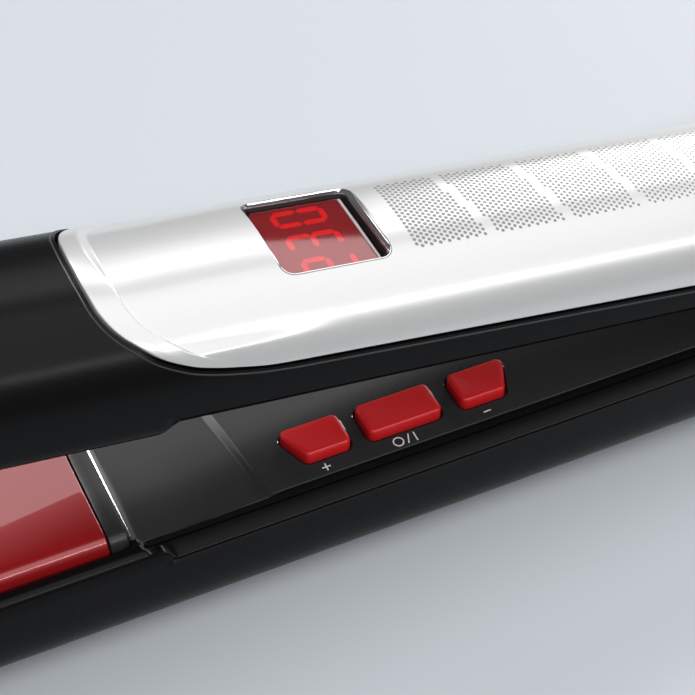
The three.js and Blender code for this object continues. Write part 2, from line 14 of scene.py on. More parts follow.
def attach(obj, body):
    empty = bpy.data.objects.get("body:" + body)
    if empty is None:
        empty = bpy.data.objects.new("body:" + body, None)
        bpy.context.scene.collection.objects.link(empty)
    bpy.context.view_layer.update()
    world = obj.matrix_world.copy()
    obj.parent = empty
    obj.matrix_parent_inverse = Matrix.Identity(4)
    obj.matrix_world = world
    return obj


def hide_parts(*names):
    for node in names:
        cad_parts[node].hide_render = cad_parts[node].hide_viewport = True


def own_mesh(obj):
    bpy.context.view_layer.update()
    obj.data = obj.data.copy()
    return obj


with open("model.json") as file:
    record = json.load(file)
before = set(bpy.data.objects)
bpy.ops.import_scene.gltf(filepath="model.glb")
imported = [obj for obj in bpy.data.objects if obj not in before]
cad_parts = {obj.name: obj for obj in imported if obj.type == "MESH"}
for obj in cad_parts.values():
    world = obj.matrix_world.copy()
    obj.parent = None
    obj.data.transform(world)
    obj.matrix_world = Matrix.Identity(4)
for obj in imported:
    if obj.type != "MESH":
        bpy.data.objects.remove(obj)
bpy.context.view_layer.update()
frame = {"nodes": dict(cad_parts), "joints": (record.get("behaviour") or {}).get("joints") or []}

# ---- the arm frames ----
MM = 0.001
HINGE = next(joint for joint in frame["joints"] if joint["name"] == "arm_hinge")
PIVOT = Vector(HINGE["pos_m"])
OPENING = math.radians(-HINGE["range_deg"][0])
LOWER = Matrix.Translation(PIVOT) @ Matrix.Rotation(math.pi, 4, "X") @ Matrix.Scale(MM, 4)
UPPER = Matrix.Translation(PIVOT) @ Matrix.Rotation(OPENING, 4, "Y") @ Matrix.Scale(MM, 4)

# ---- driving dimensions, in millimetres ----
NOSE = -249.0
NOSE_DEPTH = 5.2  # of the nose tip
TAIL = 34.0
TAIL_ROUNDING = 0.6
HALF_WIDTH = 18.2
WIDEST = 3.75  # height of the lower arm's widest line above the meeting plane
UPPER_DEPTH = 18.2
UPPER_POWER = 2.55
LOWER_DEPTH = 20.0
LOWER_POWER = 4.0
BELLY = 19.7
WALL = 1.8
GAP = 0.3
PLATE_START = -239.4
PLATE_END = -149.4
PLATE_HALF = 14.0
PLATE_FACE = 0.1
PLATE_SKIRT = 4.2
PLATE_ROLL = 2.4  # rounding of the plate's long edges
PLATE_BREAK = 0.22  # rounding of the plate's ends
SPRING_LOW = 5.7
SPRING_HIGH = 9.2
SPRING_PLACES = {"front": -214.0, "rear": -176.0}
BRIDGE_END = -146.2
CARRIER_START = -242.4
CARRIER_HALF = 15.4
LIP_HALF = 15.7
TRAY_SHOULDER = 7.0
TRAY_BOTTOM = 10.9
WELL_HALF = 10.6
SIDE_STEP_X = -144.6  # where the lip beside the plate steps down to the band beside the panel
SIDE_STEP_SLANT = 1.05
HINGE_RADIUS = 17.0
HINGE_CLEAR = 17.4
KNUCKLE_HALF = 9.6
CHEEK_INNER = 9.9
CHEEK_HALF = 17.8
LIP_OF_TAIL = 4.0
PIN_RADIUS = 3.0
CAP_RADIUS = 10.0
CAP_SEAT = 16.5
COVER_REAR = -9.0
COVER_THICK = 1.6
COVER_ROLL = 0.28  # rounding of its edges
LEDGE_REACH = 1.15  # from the cover's edge to the fine ridge on the black housing
WINDOW_X = -113.3
WINDOW_Y = 0.5  # the window sits a little towards the far side
WINDOW_LONG = 17.5
WINDOW_WIDE = 17.3
PANEL_HALF = 13.9
PANEL_EDGE = 13.5  # of the visible face, which leaves a dark seam beside it
PANEL_FACE = 1.7
PANEL_CROWN = 0.7
PANEL_THICK = 1.5
PANEL_SKIRT = 6.6
PANEL_END = -20.0
SADDLE_DROP = 0.6
SCREW_X = -30.0
SCREW_Y = 8.0
BUTTON_FAR = 3.9
BUTTON_NEAR = 10.3
BUTTON_TOP = 0.25
SIGN_Y = 12.1  # of the printed signs
INK_HALF = 0.11  # half the width of their lines
SLANT = 2.9
BUTTONS = {  # start, end, and the slant of each end
    "plus": (-119.0, -108.6, SLANT, 0.0),
    "power": (-105.6, -93.0, 0.0, 0.0),
    "minus": (-89.6, -79.2, 0.0, SLANT),
}


# ---- mesh helpers ----
def make_object(name, mesh, arm, sharp_angle=38.0):
    """Turns a bmesh in arm millimetres into a smooth-shaded object in the object's frame."""
    bmesh.ops.remove_doubles(mesh, verts=mesh.verts, dist=1e-4)
    bmesh.ops.dissolve_degenerate(mesh, edges=mesh.edges, dist=1e-4)
    bmesh.ops.recalc_face_normals(mesh, faces=mesh.faces)
    data = bpy.data.meshes.new(name)
    mesh.to_mesh(data)
    mesh.free()
    data.transform(arm)
    piece = bpy.data.objects.new(name, data)
    bpy.context.scene.collection.objects.link(piece)
    shade(piece, sharp_angle)
    return piece


def shade(piece, sharp_angle=38.0):
    piece.data.shade_smooth()
    piece.data.set_sharp_from_angle(angle=math.radians(sharp_angle))


def add_grid(mesh, rows, wrap_rows=False, wrap_columns=False):
    """Adds a grid of points, rows[i][j], and returns its vertices."""
    grid = [[mesh.verts.new(point) for point in row] for row in rows]
    count, width = len(grid), len(grid[0])
    for i in range(count if wrap_rows else count - 1):
        for j in range(width if wrap_columns else width - 1):
            a, b = grid[i][j], grid[i][(j + 1) % width]
            c, d = grid[(i + 1) % count][(j + 1) % width], grid[(i + 1) % count][j]
            mesh.faces.new((a, b, c, d))
    return grid


def bridge(mesh, first, second):
    """Joins two equally long lines of vertices with quads."""
    for i in range(len(first) - 1):
        mesh.faces.new((first[i], first[i + 1], second[i + 1], second[i]))


def thick_grid(outer, inner):
    """A closed solid between two grids of the same size: the grids and the strips along their borders."""
    mesh = bmesh.new()
    top = add_grid(mesh, outer)
    bottom = add_grid(mesh, inner)
    bridge(mesh, top[0], bottom[0])
    bridge(mesh, top[-1], bottom[-1])
    bridge(mesh, [row[0] for row in top], [row[0] for row in bottom])
    bridge(mesh, [row[-1] for row in top], [row[-1] for row in bottom])
    return mesh


def loft(loops):
    """A closed solid through closed loops of points, with flat ends."""
    mesh = bmesh.new()
    grid = add_grid(mesh, loops, wrap_columns=True)
    mesh.faces.new(grid[0])
    mesh.faces.new(grid[-1])
    return mesh


def spin(profile, sides=64, axis="X", centre=(0, 0, 0)):
    """A closed profile of (along, radius) points spun about an axis. A profile on the axis is a solid."""
    rows = []
    for i in range(sides):
        turn = 2 * math.pi * i / sides
        row = []
        for along, radius in profile:
            a, b = radius * math.sin(turn), radius * math.cos(turn)
            point = {"X": (along, a, b), "Y": (b, along, a), "Z": (a, b, along)}[axis]
            row.append(Vector(point) + Vector(centre))
        rows.append(row)
    mesh = bmesh.new()
    add_grid(mesh, rows, wrap_rows=True, wrap_columns=profile[0][1] > 0)
    return mesh


def rod(axis, radius, low, high, centre=(0, 0, 0), sides=64):
    return spin([(low, 0), (low, radius), (high, radius), (high, 0)], sides, axis, centre)


def block(low, high):
    (x0, y0, z0), (x1, y1, z1) = low, high
    return loft([[(x, y, z) for y, z in ((y0, z0), (y1, z0), (y1, z1), (y0, z1))] for x in (x0, x1)])


def bead(points, radius, closed=False, sides=8, end_radius=None):
    """A round wire through points, for a moulded edge that catches the light. It may taper to its end."""
    points = [Vector(point) for point in points]
    count = len(points)
    radii = steps(radius, radius if end_radius is None else end_radius, count - 1)
    rings = []
    for i, point in enumerate(points):
        after = points[(i + 1) % count] if closed or i < count - 1 else point
        before = points[i - 1] if closed or i > 0 else point
        along = (after - before).normalized()
        side = along.cross(Vector((0, 0, 1)))
        side = (side if side.length > 1e-3 else along.cross(Vector((0, 1, 0)))).normalized()
        up = side.cross(along)
        turns = [2 * math.pi * k / sides for k in range(sides)]
        rings.append([point + radii[i] * (math.cos(turn) * side + math.sin(turn) * up) for turn in turns])
    mesh = bmesh.new()
    grid = add_grid(mesh, rings, wrap_rows=closed, wrap_columns=True)
    if not closed:
        mesh.faces.new(grid[0])
        mesh.faces.new(grid[-1])
    return mesh


def closed_ring(loops):
    """A closed solid through closed loops of points, whose last loop joins the first."""
    mesh = bmesh.new()
    add_grid(mesh, loops, wrap_rows=True, wrap_columns=True)
    return mesh


def prism(outline, low, high):
    """An (x, y) outline pushed along Z."""
    return loft([at_height(outline, z) for z in (low, high)])


def merge(first, *others):
    """Adds the other bmeshes' faces to the first."""
    for other in others:
        other.verts.index_update()
        copies = [first.verts.new(vert.co) for vert in other.verts]
        for face in other.faces:
            first.faces.new([copies[vert.index] for vert in face.verts])
        other.free()
    return first


def carve(piece, operation, arm, *solids, sharp_angle=38.0, solver="MANIFOLD"):
    """Cuts each solid out of a piece (DIFFERENCE), or joins it on (UNION)."""
    for mesh in solids:
        tool = make_object("tool", mesh, arm)
        change = piece.modifiers.new("boolean", "BOOLEAN")
        change.operation = operation
        change.solver = solver
        change.object = tool
        graph = bpy.context.evaluated_depsgraph_get()
        data = bpy.data.meshes.new_from_object(piece.evaluated_get(graph))
        if not data.polygons:
            raise RuntimeError(f"{piece.name}: {operation} left nothing")
        piece.modifiers.clear()
        piece.data = data
        bpy.data.objects.remove(tool)
    shade(piece, sharp_angle)


def steps(low, high, count):
    return [low + (high - low) * i / count for i in range(count + 1)]


def mix(first, second, t):
    return first + (second - first) * t


def clamp(value):
    return min(max(value, 0.0), 1.0)


def smooth(low, high, value):
    """0 below low, 1 above high, with a soft run between."""
    t = clamp((value - low) / (high - low))
    return t * t * (3 - 2 * t)


def curve_through(points, count):
    """A Catmull-Rom curve through points, as count + 1 vectors."""
    points = [Vector(point) for point in points]
    ends = [2 * points[0] - points[1]] + points + [2 * points[-1] - points[-2]]
    curve = []
    for t in steps(0, len(points) - 1, count):
        i = min(int(t), len(points) - 2)
        f = t - i
        a, b, c, d = ends[i : i + 4]
        curve.append(
            0.5 * (2 * b + (c - a) * f + (2 * a - 5 * b + 4 * c - d) * f**2 + (3 * b - a - 3 * c + d) * f**3)
        )
    return curve


def resample(points, count):
    """The same line with count + 1 evenly spaced points."""
    points = [Vector(point) for point in points]
    lengths = [0.0]
    for a, b in zip(points, points[1:]):
        lengths.append(lengths[-1] + (b - a).length)
    even, k = [], 0
    for target in steps(0, lengths[-1], count):
        while k < len(points) - 2 and lengths[k + 1] < target:
            k += 1
        span = max(lengths[k + 1] - lengths[k], 1e-9)
        even.append(points[k].lerp(points[k + 1], clamp((target - lengths[k]) / span)))
    return even


def rounded_outline(corners, radius, arc=6):
    """A polygon whose corners are arcs, as (x, y) points."""
    outline = []
    count = len(corners)
    for i, corner in enumerate(corners):
        here = Vector(corner)
        to_last = (Vector(corners[i - 1]) - here).normalized()
        to_next = (Vector(corners[(i + 1) % count]) - here).normalized()
        half = to_last.angle(to_next) / 2
        centre = here + (to_last + to_next).normalized() * radius / math.sin(half)
        start = here + to_last * radius / math.tan(half) - centre
        end = here + to_next * radius / math.tan(half) - centre
        turn = start.angle_signed(end)
        for t in steps(0, turn, arc):
            outline.append(tuple(centre + Matrix.Rotation(-t, 2) @ start))
    return outline


def rectangle(x0, x1, y0, y1, radius, arc=6):
    return rounded_outline([(x0, y0), (x1, y0), (x1, y1), (x0, y1)], radius, arc)


def quarter_round(radius, count):
    """A rounded corner as (drop, inset) pairs, from its flank at (0, radius) to its top at (radius, 0)."""
    turns = steps(0, math.pi / 2, count)
    return [(radius * (1 - math.cos(turn)), radius * (1 - math.sin(turn))) for turn in turns]


def around(x, y, radius, sides):
    """Evenly spaced (x, y) points on a circle."""
    turns = [2 * math.pi * k / sides for k in range(sides)]
    return [(x + radius * math.cos(turn), y + radius * math.sin(turn)) for turn in turns]


def at_height(outline, z):
    return [(x, y, z) for x, y in outline]


# ---- the arms' outer form ----
# The edge that faces the other arm, from the opening outwards, as (half width, height). Beside the plate
# it is a rounded lip. Beside the inner panel it is a ledge, a fine groove, a band and another groove.
LIP = [(15.3, 0.95), (15.5, 0.85), (16.0, 0.86), (16.2, 0.88), (16.4, 0.9), (16.6, 0.94), (16.9, 1.02),
       (17.5, 1.35), (17.85, 1.85), (18.05, 2.5), (18.17, 3.2), (18.2, 3.7), (18.2, 4.12)]
BAND = [(14.2, 2.3), (14.35, 2.15), (15.1, 2.4), (15.16, 2.8), (15.32, 2.82), (15.4, 2.5), (15.6, 2.56),
        (17.7, 3.35), (17.95, 3.48), (18.02, 3.6), (17.82, 3.7), (17.82, 3.95), (18.19, 4.12)]
CROWN_START = 4.12
CROWN_COLUMNS = 64
UNDER_COLUMNS = 20


class Arm:
    """The outer form of one arm, which an inset shrinks."""

    def __init__(self, depth, power, base, round_tail):
        self.depth = depth
        self.power = power
        self.base = base
        self.round_tail = round_tail

    def shape(self, x, inset=0.0):
        """Half width, depth, power and base of the section at x."""
        half, depth, power, base = HALF_WIDTH - inset, self.depth - inset, self.power, self.base
        plan = clamp((NOSE + 11 - x) / (11 - inset))
        side = clamp((NOSE + 20 - x) / (20 - inset))
        half *= (1 - plan**3) ** (1 / 3)
        depth = NOSE_DEPTH + (depth - NOSE_DEPTH) * (1 - side**2.4) ** (1 / 2.4)
        if self.round_tail:
            t = smooth(-34, LIP_OF_TAIL, x)
            power, base = mix(power, 2.0, t), mix(base, 0.0, t)
            half, depth = mix(half, CHEEK_HALF - inset, t), mix(depth, CHEEK_HALF - inset, t)
        else:
            depth -= 0.9 * smooth(-34, 0, x)
        return max(half, 1e-3), max(depth, base + 1e-3), power, base

    def side(self, x, height, inset=0.0):
        """Half width of the section at a height."""
        half, depth, power, base = self.shape(x, inset)
        if height <= base:
            return half
        return half * max(1 - ((height - base) / (depth - base)) ** power, 0.0) ** (1 / power)

    def crown(self, x, start, count, inset=0.0):
        """Evenly spaced (y, z) points over the crown, from height start on +Y to the same on -Y."""
        half, depth, power, base = self.shape(x, inset)
        low = math.asin(clamp((start - base) / (depth - base)) ** (power / 2))
        quarter = []
        for t in steps(0, 1, 200):
            turn = low + (math.pi / 2 - low) * t**2 * (3 - 2 * t)
            rise = min(base + (depth - base) * math.sin(turn) ** (2 / power), BELLY - inset)
            quarter.append((half * math.cos(turn) ** (2 / power), rise))
        quarter = resample(quarter, count // 2)
        return [(y, z) for y, z in quarter] + [(-y, z) for y, z in quarter[-2::-1]]

    def section(self, x):
        """A closed loop: +Y edge, crown, -Y edge and the underside."""
        half = self.shape(x)[0]
        narrow = half / HALF_WIDTH if x < NOSE + 11 else 1.0
        edge = []
        for (lip_y, lip_z), (band_y, band_z) in zip(LIP, BAND):
            outwards = max(min(band_y, 18) - 15, 0)
            place = SIDE_STEP_X + SIDE_STEP_SLANT * outwards
            reach = 0.9 + 0.2 * outwards
            t = smooth(place - reach, place + reach, x)
            y, z = mix(lip_y, band_y, t), mix(lip_z, band_z, t)
            edge.append((y * narrow - (half - self.side(x, z)), z))
        crown = self.crown(x, CROWN_START, CROWN_COLUMNS)
        under = [(mix(-edge[0][0], edge[0][0], t), edge[0][1]) for t in steps(0, 1, UNDER_COLUMNS)]
        return edge[:-1] + crown + [(-y, z) for y, z in edge[-2::-1]] + under[1:-1]


UPPER_ARM = Arm(UPPER_DEPTH, UPPER_POWER, 0.0, False)
LOWER_ARM = Arm(LOWER_DEPTH, LOWER_POWER, WIDEST, True)


def arm_stations(rear):
    """X positions of the sections, close together at the nose and at the step beside the panel."""
    nose = [NOSE + 20 * t**3 for t in steps(0.06, 1, 22)]
    front = steps(-226, -150, 19)
    step = steps(-147, -139.4, 34)
    back = steps(-136, -36, 25)
    return nose + front + step + back + steps(-32, rear, 16)


def arm_form(arm, rear):
    return [[(x, y, z) for y, z in arm.section(x)] for x in arm_stations(rear)]


def inside_form(arm, inset, start, end, low):
    """The hollow of an arm: its outer form shrunk by a wall, flat at the height low."""
    loops = []
    for x in steps(start, end, 40):
        points = arm.crown(x, low, 40, inset)
        loops.append([(x, y, z) for y, z in points])
    return loft(loops)


def inner_opening():
    """The room for the plate's carrier and the inner panel, open towards the other arm."""
    start = CARRIER_START - GAP
    plate_room = prism(rectangle(start, BRIDGE_END, -LIP_HALF, LIP_HALF, 1.2), -2, TRAY_SHOULDER + GAP)
    well = block((start, -WELL_HALF - GAP, 2), (BRIDGE_END, WELL_HALF + GAP, TRAY_BOTTOM + GAP))
    panel_room = block((BRIDGE_END - 1, -PANEL_HALF - GAP, -2), (PANEL_END + GAP, PANEL_HALF + GAP, 7))
    return plate_room, well, panel_room


# ---- lower shell ----
def tail_radius(x):
    """The bullet-shaped housing behind the hinge."""
    t = clamp((x - LIP_OF_TAIL) / (TAIL - LIP_OF_TAIL))
    return mix(CHEEK_HALF, 9.4, t**2.1 * (1.35 - 0.35 * t))


def lower_form():
    """The lower arm's outer form, whose section turns into the tail's circle behind the hinge."""
    loops = arm_form(LOWER_ARM, LIP_OF_TAIL)
    last = loops[-1]
    first_crown = len(LIP) - 1
    crown_count = CROWN_COLUMNS + 1
    rest = len(last) - crown_count
    side_angle = math.atan2(last[first_crown][2], last[first_crown][1])
    circle = []
    for k in range(len(last)):
        k_after = (k - first_crown) % len(last)
        if k_after < crown_count:
            _, y, z = last[k]
            circle.append(Vector((y, z)).normalized())
        else:
            t = (k_after - crown_count + 1) / (rest + 1)
            turn = math.pi - side_angle + t * (math.pi + 2 * side_angle)
            circle.append(Vector((math.cos(turn), math.sin(turn))))
    for x in steps(LIP_OF_TAIL, TAIL - TAIL_ROUNDING, 26):
        loops.append([(x, *(tail_radius(x) * spoke)) for spoke in circle])
    for drop, inset in quarter_round(TAIL_ROUNDING, 4)[1:]:
        loops.append([(TAIL - inset, *((tail_radius(TAIL) - drop) * spoke)) for spoke in circle])
    return loops


def cheek(side):
    """One round cheek of the fork that the hinge's barrel turns in."""
    edge = [(CHEEK_HALF - inset, HINGE_RADIUS - drop) for drop, inset in quarter_round(1.2, 5)]
    profile = [(CHEEK_INNER, 0), (CHEEK_INNER, HINGE_RADIUS)] + edge + [(CHEEK_HALF, 0)]
    return spin([(side * along, radius) for along, radius in profile], 96, "Y")


def screw_places():
    return [(SCREW_X, side * SCREW_Y, 0) for side in (-1, 1)]


def screw_sockets(low, high):
    return [rod("Z", 3.2, low, high, place, 24) for place in screw_places()]


def screw_holes():
    return [rod("Z", 1.8, 0, 12.3, place, 20) for place in screw_places()]


def hinge_holes(lead_height):
    """Each arm's holes at the hinge: for the leads to the tail, and for the pin."""
    return [rod("X", 4, -30, -12, (0, 0, lead_height), 20), rod("Y", PIN_RADIUS + GAP, -30, 30, sides=32)]


def lower_shell():
    shell = make_object("lower_shell", loft(lower_form()), LOWER)
    hollow = inside_form(LOWER_ARM, WALL, NOSE + 4, PANEL_END + GAP, WIDEST)
    carve(shell, "DIFFERENCE", LOWER, hollow, *inner_opening())
    carve(shell, "UNION", LOWER, cheek(1), cheek(-1), *screw_sockets(8.3, LOWER_DEPTH - WALL + 0.2))
    cord_room = spin([(12, 0), (12, 10.4), (24, 10.4), (30.7, 8.6), (30.7, 6.6), (36, 6.6), (36, 0)], 48)
    cuts = [
        rod("Y", HINGE_CLEAR, -CHEEK_INNER, CHEEK_INNER, sides=96),
        block((-20, -CHEEK_INNER, -30), (LIP_OF_TAIL, CHEEK_INNER, 0)),
        cord_room,
    ]
    cap_seats = [rod("Y", CAP_RADIUS + GAP, side * CAP_SEAT, side * 19) for side in (-1, 1)]
    carve(shell, "DIFFERENCE", LOWER, *cuts, *hinge_holes(14.2), *screw_holes(), *cap_seats)
    return shell


# ---- the cover and the housing under it ----
# The cover's front edge in the upper arm's side view, from the crown to where it meets the side edge.
COVER_EDGE = [(-150.0, 18.2), (-149.97, 18.13), (-149.6, 17.5), (-149.17, 17.0), (-148.5, 16.4),
              (-147.6, 15.75), (-146.3, 14.95), (-142.7, 12.9), (-138.5, 11.3), (-135.3, 10.57),
              (-132.3, 10.1), (-128.0, 9.6), (-123.0, 9.3)]
SIDE_REAR = 6.9  # height of the cover's side edge at the hinge
COLLAR_RISE = 0.06
SCOOP_DEPTH = 0.6
SCOOP_LENGTH = 27.0


def turn_of_height(height):
    return math.asin(clamp(height / UPPER_DEPTH) ** (UPPER_POWER / 2))


def upper_point(x, turn, offset=0.0, side=1):
    """A point of the upper arm's surface, at an angle round its section, moved outwards by offset."""
    half, depth, power, _ = UPPER_ARM.shape(x)
    y, z = max(math.cos(turn), 0.0) ** (2 / power), math.sin(turn) ** (2 / power)
    normal = Vector((0, y ** (power - 1) / half, z ** (power - 1) / depth)).normalized()
    point = Vector((x, half * y, depth * z)) + offset * normal
    point.y *= side
    return point


def cover_front(count):
    """The front edge as (x, turn) pairs, from the side edge to the crown, closest together at the side."""
    fine = curve_through([(x, turn_of_height(z)) for x, z in COVER_EDGE[::-1]], 400)
    low, high = fine[0].y, fine[-1].y
    edge, k = [], 0
    for t in steps(0, 1, count):
        turn = mix(low, high, t**1.8)
        while k < len(fine) - 2 and fine[k + 1].y < turn:
            k += 1
        part = clamp((turn - fine[k].y) / max(fine[k + 1].y - fine[k].y, 1e-9))
        edge.append((mix(fine[k].x, fine[k + 1].x, part), turn))
    return edge


COVER_COLUMNS = 40
ARC = 20.0  # millimetres round the section for each radian of turn
FRONT_EDGE = cover_front(COVER_COLUMNS)
SIDE_TURN_FRONT = FRONT_EDGE[0][1]
SIDE_TURN_REAR = turn_of_height(SIDE_REAR)


def grown_edge(grow):
    """The front edge moved outwards by grow, square to its own line."""
    line = [Vector((x, turn * ARC)) for x, turn in FRONT_EDGE]
    moved = []
    last = len(line) - 1
    for i, point in enumerate(line):
        along = (line[min(i + 1, last)] - line[max(i - 1, 0)]).normalized()
        if i in (0, last):
            along = Vector((0, 1)) if i else Vector((-1, 0))
        moved.append(point + grow * Vector((-along.y, along.x)))
    return [(point.x, point.y / ARC) for point in moved]


def collar_width(turn):
    """Width of the raised collar behind the cover's front edge, measured along X."""
    return 4.2 + 0.55 * smooth(60, 42, math.degrees(turn))


def cover_relief(across, behind, turn, side):
    """Height of the collar, its sloping rear face and the scoop behind it.

    across runs from 0 to 1 over the collar, and behind is the distance in millimetres past it.
    """
    degrees = math.degrees(turn)
    rise = COLLAR_RISE * smooth(30, 44, degrees)
    scoop = SCOOP_DEPTH * smooth(37.5, 45, degrees)
    face = mix(0.09, 0.38, smooth(-13, 9, side * (90 - degrees)))
    if across < 1:
        slope = clamp((across - 1 + face) / face)
        return rise * smooth(0.0, 0.4, across) * (1 - slope) - scoop * slope
    return -scoop * (1 - smooth(0.0, SCOOP_LENGTH, behind))


def edge_roll(distance):
    """How far the cover's rounded edge has dropped at a distance from it."""
    if distance >= COVER_ROLL:
        return 0.0
    return COVER_ROLL - math.sqrt(max(COVER_ROLL**2 - (COVER_ROLL - distance) ** 2, 0.0))


def cover_rows():
    """Places behind the front edge: (share of the collar, millimetres behind it)."""
    collar = [(t, 0.0) for t in (0, 0.012, 0.035, 0.07, 0.12, 0.2, 0.3, 0.4, 0.46, 0.5, 0.58, 0.66, 0.74,
                                 0.82, 0.85, 0.88, 0.92, 0.96)]
    behind = [0, 0.2, 0.5, 0.9, 1.4, 2, 3, 4, 5.5, 7, 9, 11, 13, 15, 17, 19, 21, 23, 25, 27]
    tail = steps(30, 126, 24) + [130, 133, 134.5, 135.5, 136.2, 136.6]
    return collar + [(1.0, x) for x in behind + tail]


def cover_half(side, offset, across, behind, grow, finished):
    """One row of the cover on one side, from its side edge to the crown."""
    row = []
    total = cover_rows()[-1][1]
    for front_x, front_turn in grown_edge(grow):
        low = SIDE_TURN_FRONT - grow / ARC
        x = mix(front_x + across * collar_width(front_turn), COVER_REAR + grow * 0.3, behind / total)
        along = clamp((x - front_x) / (COVER_REAR - front_x))
        side_turn = mix(low, SIDE_TURN_REAR - grow / ARC, along)
        spread = (front_turn - low) / (math.pi / 2 - low)
        turn = mix(side_turn, math.pi / 2, spread)
        lift = offset
        if finished:
            from_side = spread * (math.pi / 2 - side_turn) * ARC
            from_front = (x - front_x) * math.sin(mix(0.15, math.pi / 2, smooth(0.0, 0.5, spread)))
            lift += cover_relief(across, behind, turn, side)
            lift -= edge_roll(from_side) + edge_roll(from_front) * smooth(0, 0.05, spread)
            lift -= edge_roll(COVER_REAR - x)
        row.append(upper_point(x, turn, lift, side))
    return row


def cover_grid(offset, grow=0.0, finished=False):
    """Rows of points over the cover, from its +Y side edge to its -Y side edge."""
    rows = []
    for across, behind in cover_rows():
        far, near = [cover_half(side, offset, across, behind, grow, finished) for side in (1, -1)]
        rows.append(far + near[-2::-1])
    return rows


def surface_height(y, x=WINDOW_X):
    """Height of the cover's surface above the meeting plane, y off its middle."""
    half, depth, power, _ = UPPER_ARM.shape(x)
    return depth * (1 - (abs(y) / half) ** power) ** (1 / power)


def window_outline(grow, arc=6):
    long, wide = WINDOW_LONG / 2 + grow, WINDOW_WIDE / 2 + grow
    corner = max(2 + grow, 0.4)
    return rectangle(WINDOW_X - long, WINDOW_X + long, WINDOW_Y - wide, WINDOW_Y + wide, corner, arc)


def cheek_clearance():
    """What keeps the upper arm clear of the fork's cheeks and of the tail."""
    sides = [rod("Y", HINGE_CLEAR, side * KNUCKLE_HALF, side * 30, sides=96) for side in (-1, 1)]
    return sides + [block((0, -30, -30), (60, 30, 40))]


def upper_housing():
    housing = make_object("upper_shell", loft(arm_form(UPPER_ARM, 0.5)), UPPER)
    recess = thick_grid(cover_grid(1.2, grow=0.5), cover_grid(-COVER_THICK - GAP, grow=0.5))
    wall_under_cover = COVER_THICK + GAP + 1.4
    hollow = inside_form(UPPER_ARM, wall_under_cover, -150, PANEL_END + GAP, WIDEST)
    nose_room = inside_form(UPPER_ARM, WALL, NOSE + 4, -153, WIDEST)
    carve(housing, "DIFFERENCE", UPPER, recess, hollow, nose_room, *inner_opening(), *cheek_clearance())
    edge = [(KNUCKLE_HALF - inset, HINGE_RADIUS - drop) for drop, inset in quarter_round(0.8, 4)]
    half_profile = edge + [(KNUCKLE_HALF, 0)]
    profile = [(-along, radius) for along, radius in half_profile[::-1]] + half_profile
    carve(housing, "UNION", UPPER, spin(profile, 128, "Y"), *screw_sockets(8.3, 15.5))
    spring_room = rod("Y", 8, -4.5, KNUCKLE_HALF + 1, sides=48)
    window_hole = prism(window_outline(GAP), 10, 30)
    carve(housing, "DIFFERENCE", UPPER, spring_room, *hinge_holes(9), window_hole, *screw_holes())
    return housing


def silver_cover():
    mesh = thick_grid(cover_grid(0.0, finished=True), cover_grid(-COVER_THICK))
    cover = make_object("cover_shell", mesh, UPPER)
    carve(cover, "DIFFERENCE", UPPER, *cheek_clearance(), prism(window_outline(0.08), 10, 30), solver="EXACT")
    return cover


def nose_ridge():
    """The fine raised edge of the black nose in front of the cover."""
    edge = grown_edge(LEDGE_REACH)
    line = [upper_point(x, turn, -0.04) for x, turn in edge]
    line += [upper_point(x, turn, -0.04, -1) for x, turn in edge[-2::-1]]
    return make_object("nose_ridge", bead(line, 0.15), UPPER)


def side_ledge(side):
    """The fine ledge that runs along under the cover's side edge."""
    line = []
    front_x, front_turn = grown_edge(LEDGE_REACH)[0]
    for x in steps(front_x, -19, 60):
        along = clamp((x - front_x) / (COVER_REAR - front_x))
        turn = mix(front_turn, SIDE_TURN_REAR - LEDGE_REACH / ARC, along)
        line.append(upper_point(x, turn, -0.04, side))
    return make_object("side_ledge_" + ("near" if side < 0 else "far"), bead(line, 0.16), UPPER)


# ---- display ----
GLASS_TOP = 16.0
GLASS_BOTTOM = 15.7
DIGIT_FACE = 15.1
DIGIT_X = -113.25
DIGIT_HEIGHT = 8.6
DIGIT_WIDE = 3.7
SEGMENT = 0.86
DIGITS_SHOWN = (("2", -5.05), ("3", 0.35), ("0", 6.0))
# Segments of a seven-segment digit: top, upper right, lower right, bottom, lower left, upper left, middle.
LIT = {"2": (1, 1, 0, 1, 1, 0, 1), "3": (1, 1, 1, 1, 0, 0, 1), "0": (1, 1, 1, 1, 1, 1, 0)}


def window_ring(levels):
    """A closed ring round the window. levels are (grow, height, whether it follows the cover's surface)."""
    loops = []
    for grow, height, follows in levels:
        outline = window_outline(grow, 8)
        loops.append([(x, y, height + (surface_height(y) if follows else 0)) for x, y in outline])
    return closed_ring(loops)


def display_bezel():
    levels = [(0, 12.8, False), (0, -0.06, True), (-0.06, 0.03, True), (-0.16, 0.03, True),
              (-0.5, -0.42, True), (-0.6, -0.75, True), (-0.6, 12.8, False)]
    return make_object("window_frame", window_ring(levels), UPPER, 30)


def window_well():
    """The black inner wall of the window, down to the glass."""
    levels = [(-0.62, 13.0, False), (-0.62, -0.78, True), (-0.72, -0.82, True), (-1.1, 16.1, False),
              (-1.1, 13.0, False)]
    return make_object("window_well", window_ring(levels), UPPER, 30)


def display_glass():
    loops = [at_height(window_outline(-1.14), z) for z in (GLASS_BOTTOM, GLASS_TOP - 0.15)]
    loops.append(at_height(window_outline(-1.26), GLASS_TOP))
    return make_object("window_glass", loft(loops), UPPER, 30)


def light_guide():
    """The pale strip along the hinge end of the glass."""
    x = WINDOW_X + WINDOW_LONG / 2 - 1.62
    half = WINDOW_WIDE / 2 - 1.5
    outline = rectangle(x - 0.2, x + 0.2, WINDOW_Y - half, WINDOW_Y + half, 0.15, 3)
    return make_object("light_guide", prism(outline, GLASS_TOP - 0.3, GLASS_TOP + 0.12), UPPER)


